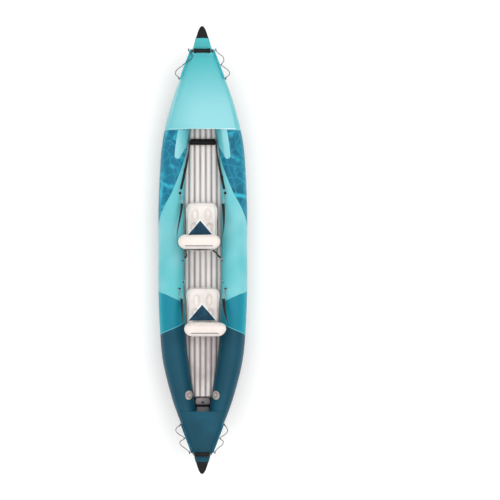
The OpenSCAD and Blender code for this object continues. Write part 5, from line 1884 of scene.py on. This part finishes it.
@dataclass
class Straps(Assembly):
    """Webbing of the seats, from the snap hooks to the backrests."""

    width: float = 0.028
    thick: float = 0.002
    front_port: tuple = ((430, 190, 437), (360, 196, 462), (250, 216, 502), (150, 232, 537), (88, 231, 548),
                         (40, 220, 552), (12, 192, 554), (0, 150, 555))
    front_starboard: tuple = ((430, -190, 437), (360, -196, 462), (250, -198, 502), (150, -190, 537),
                              (88, -180, 548), (40, -168, 552), (12, -140, 554), (0, -98, 555))
    rear_port: tuple = ((-452, 194, 437), (-520, 190, 458), (-600, 184, 502), (-660, 180, 537),
                        (-712, 178, 550), (-758, 166, 555), (-786, 138, 558), (-799, 96, 560))
    rear_starboard: tuple = ((-452, -194, 437), (-520, -200, 458), (-600, -214, 502), (-660, -230, 537),
                             (-712, -234, 550), (-758, -222, 555), (-786, -194, 558), (-799, -152, 560))
    tether_port: tuple = ((0, 148, 528), (-14, 152, 500), (-30, 152, 440), (-50, 150, 390), (-66, 158, 366),
                          (-72, 168, 362))
    tether_starboard: tuple = ((0, -98, 528), (-14, -112, 500), (-30, -130, 440), (-50, -144, 390),
                               (-66, -158, 366), (-72, -168, 362))

    def build(self) -> None:
        """Makes the straps."""
        for name, points, lay, body, node in (
            ("front_port", self.front_port, Lay(30, 90, 2), "backrest_front", "seat_straps_front"),
            ("front_starboard", self.front_starboard, Lay(0, -90, 2), "backrest_front", ""),
            ("rear_port", self.rear_port, Lay(30, 90, 2), "backrest_rear", "seat_straps_rear"),
            ("rear_starboard", self.rear_starboard, Lay(0, -90, 2), "backrest_rear", ""),
        ):
            path = smooth_path(millimetres(points), 6)
            strap = band(f"seat_strap_{name}", path, self.width, self.thick, lay)
            self.fit(strap, self.finishes.web, None, "webbing", [node] if node else [])
            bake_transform(strap)
            self._slider(name, path, lay)
        for name, points in (("port", self.tether_port), ("starboard", self.tether_starboard)):
            path = smooth_path(millimetres(points), 6)
            tether = band(f"seat_tether_{name}", path, 0.017, self.thick)
            self.fit(tether, self.finishes.web, None, "webbing")
            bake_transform(tether)

    def _slider(self, name: str, path: Sequence[Vector], lay: Lay) -> None:
        """The doubled, stitched end of a strap behind its hook."""
        tail = [p.copy() for p in path[1:10]]
        for i, p in enumerate(tail):
            t = (path[i + 2] - path[i]).normalized()
            tail[i] = p + side_of(t).cross(t) * 0.0026
        haste = lay.haste * (len(tail) - 1) / (len(path) - 1)
        loop = band(f"strap_tail_{name}", tail, self.width * 0.98, self.thick,
                    Lay(lerp(lay.start, lay.end, lay.haste / (len(path) - 1)),
                        lerp(lay.start, lay.end, min(haste + lay.haste / (len(path) - 1), 1))))
        self.fit(loop, self.finishes.web, None, "webbing")
        tuple(path[0])
        tuple(path[-1])
        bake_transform(loop)


@dataclass
class FootRest(Assembly):
    """The padded foot bar on its two straps."""

    x: float = 1.008
    length: float = 0.235
    radius: float = 0.029
    ring: tuple = ((566, 203, 413), (620, 190, 400), (700, 171, 381), (800, 150, 356), (900, 133, 332),
                   (970, 123, 314))

    def build(self) -> None:
        """Makes the foot rest."""
        low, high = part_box("foot_bar")
        z = (low.z + high.z) / 2
        e, r = self.length / 2, self.radius
        rings = []
        n = 24
        for k in range(n + 1):
            y = lerp(-e + 0.008, e - 0.008, k / n)
            rings.append((r - 0.0009 * (1 + math.sin(k * 2.3)) / 2, y))
        profile = ([(0.0043, -e), (r - 0.009, -e), (r - 0.003, -e + 0.002), (r - 0.0005, -e + 0.005)] + rings
                   + [(r - 0.0005, e - 0.005), (r - 0.003, e - 0.002), (r - 0.009, e), (0.0043, e),
                      (0.0043, -e)])
        where = Matrix.Translation((self.x, 0, z)) @ Matrix.Rotation(math.pi / 2, 4, "X")
        bar = smooth(turned("foot_roller", profile, where, 64, ring=True), 40)
        self.fit(bar, self.finishes.foam, "foot_bar", "foam", ["foot_bar"])
        pieces = []
        end = (self.x, e + 0.004, z)
        for side in (1, -1):
            path = smooth_path([(x, side * y, q) for x, y, q in millimetres(self.ring)] , 5)
            path.append(Vector((end[0], side * end[1], end[2])))
            lay = Lay(-12, -75, 1.0) if side > 0 else Lay(12, 75, 1.0)
            pieces.append(band("foot_strap", path, 0.028, 0.002, lay))
        core = turned("foot_core", [(0.001, -e - 0.003), (0.004, -e - 0.003), (0.004, e + 0.003),
                                    (0.001, e + 0.003)], where, 20)
        piece = join([*pieces, smooth(core, 40)], "foot_webbing")
        self.fit(piece, self.finishes.web, "foot_bar", "webbing", ["foot_straps"])
        self.keep("foot_buckles", self.finishes.plastic, 0.0012, "black_plastic")


@dataclass
class Fins(Assembly):
    """Slide-in fins, their boxes and their studs."""

    def build(self) -> None:
        """Makes the fins."""
        for name in ("front", "rear"):
            self.keep(f"fin_{name}", self.finishes.fin, 0.0022, "fin_plastic")
            self.keep(f"fin_box_{name}", self.finishes.plastic, 0.0014, "box_plastic")
            self.keep(f"fin_stud_{name}", self.finishes.stud, 0.0006, "stud_plastic")


@dataclass
class Studio:
    """Floor, light and camera."""

    view_width: float = 4.63
    height: float = 20.0
    lens: float = 152.0
    side: float = -0.44

    def build(self) -> None:
        """Makes the setting."""
        self._camera()
        self._floor()
        self._lights()

    def _camera(self) -> None:
        """The camera straight above, bow up in the picture."""
        data = bpy.data.cameras.new("camera")
        camera = bpy.data.objects.new("camera", data)
        bpy.context.scene.collection.objects.link(camera)
        data.lens = self.lens
        data.clip_end = 100
        camera.location = (0, self.side, self.height)
        camera.rotation_euler = (0, 0, -math.pi / 2)
        bpy.context.scene.camera = camera

    def _floor(self) -> None:
        """A wide pale floor under the fins."""
        deselect()
        bpy.ops.mesh.primitive_grid_add(x_subdivisions=8, y_subdivisions=8, size=60, location=(0, 0, -0.0005))
        floor = settle(bpy.context.object)
        floor.name = "studio_floor"
        s = Shader("studio_floor")
        tint = s.mix(s.noise(0.6), srgb("#ffffff"), srgb("#fdfdfd"))
        dress(floor, s.finish(tint, 0.9, None, Specular_IOR_Level=0.0))

    def _lights(self) -> None:
        """Even daylight and two large soft lights."""
        world = bpy.data.worlds.new("studio")
        world.use_nodes = True
        world.node_tree.nodes["Background"].inputs[0].default_value = (1, 1, 1, 1)
        world.node_tree.nodes["Background"].inputs[1].default_value = 0.86
        bpy.context.scene.world = world
        for name, place, size, power_w in (
            ("key", (0.8, -3.0, 8.0), 8.0, 300),
            ("fill", (-1.5, 4.5, 7.5), 8.0, 170),
        ):
            data = bpy.data.lights.new(name, "AREA")
            data.size = size
            data.energy = power_w
            light = bpy.data.objects.new(name, data)
            bpy.context.scene.collection.objects.link(light)
            light.location = place
            light.rotation_euler = (Vector((0, 0, 0.3)) - Vector(place)).to_track_quat("-Z", "Y").to_euler()
        bpy.context.scene.view_settings.view_transform = "Standard"


def main() -> None:
    """Builds the kayak piece by piece."""
    logging.basicConfig(level=logging.INFO, format="%(name)s %(message)s")
    Studio().build()
    finishes = Finishes()
    GrabLines(finishes).build()
    Hull(finishes).build()
    Decks(finishes).build()
    Handles(finishes).build()
    Valves(finishes).build()
    Floor(finishes).build()
    Rigging(finishes).build()
    Seat(finishes).build()
    Seat(finishes, "rear", -0.351, 0.0, -0.028, front_flat=0.3, panel_shift=0.006, panel_tail=-0.659).build()
    Straps(finishes).build()
    FootRest(finishes).build()
    Fins(finishes).build()


if __name__ == "__main__":
    main()
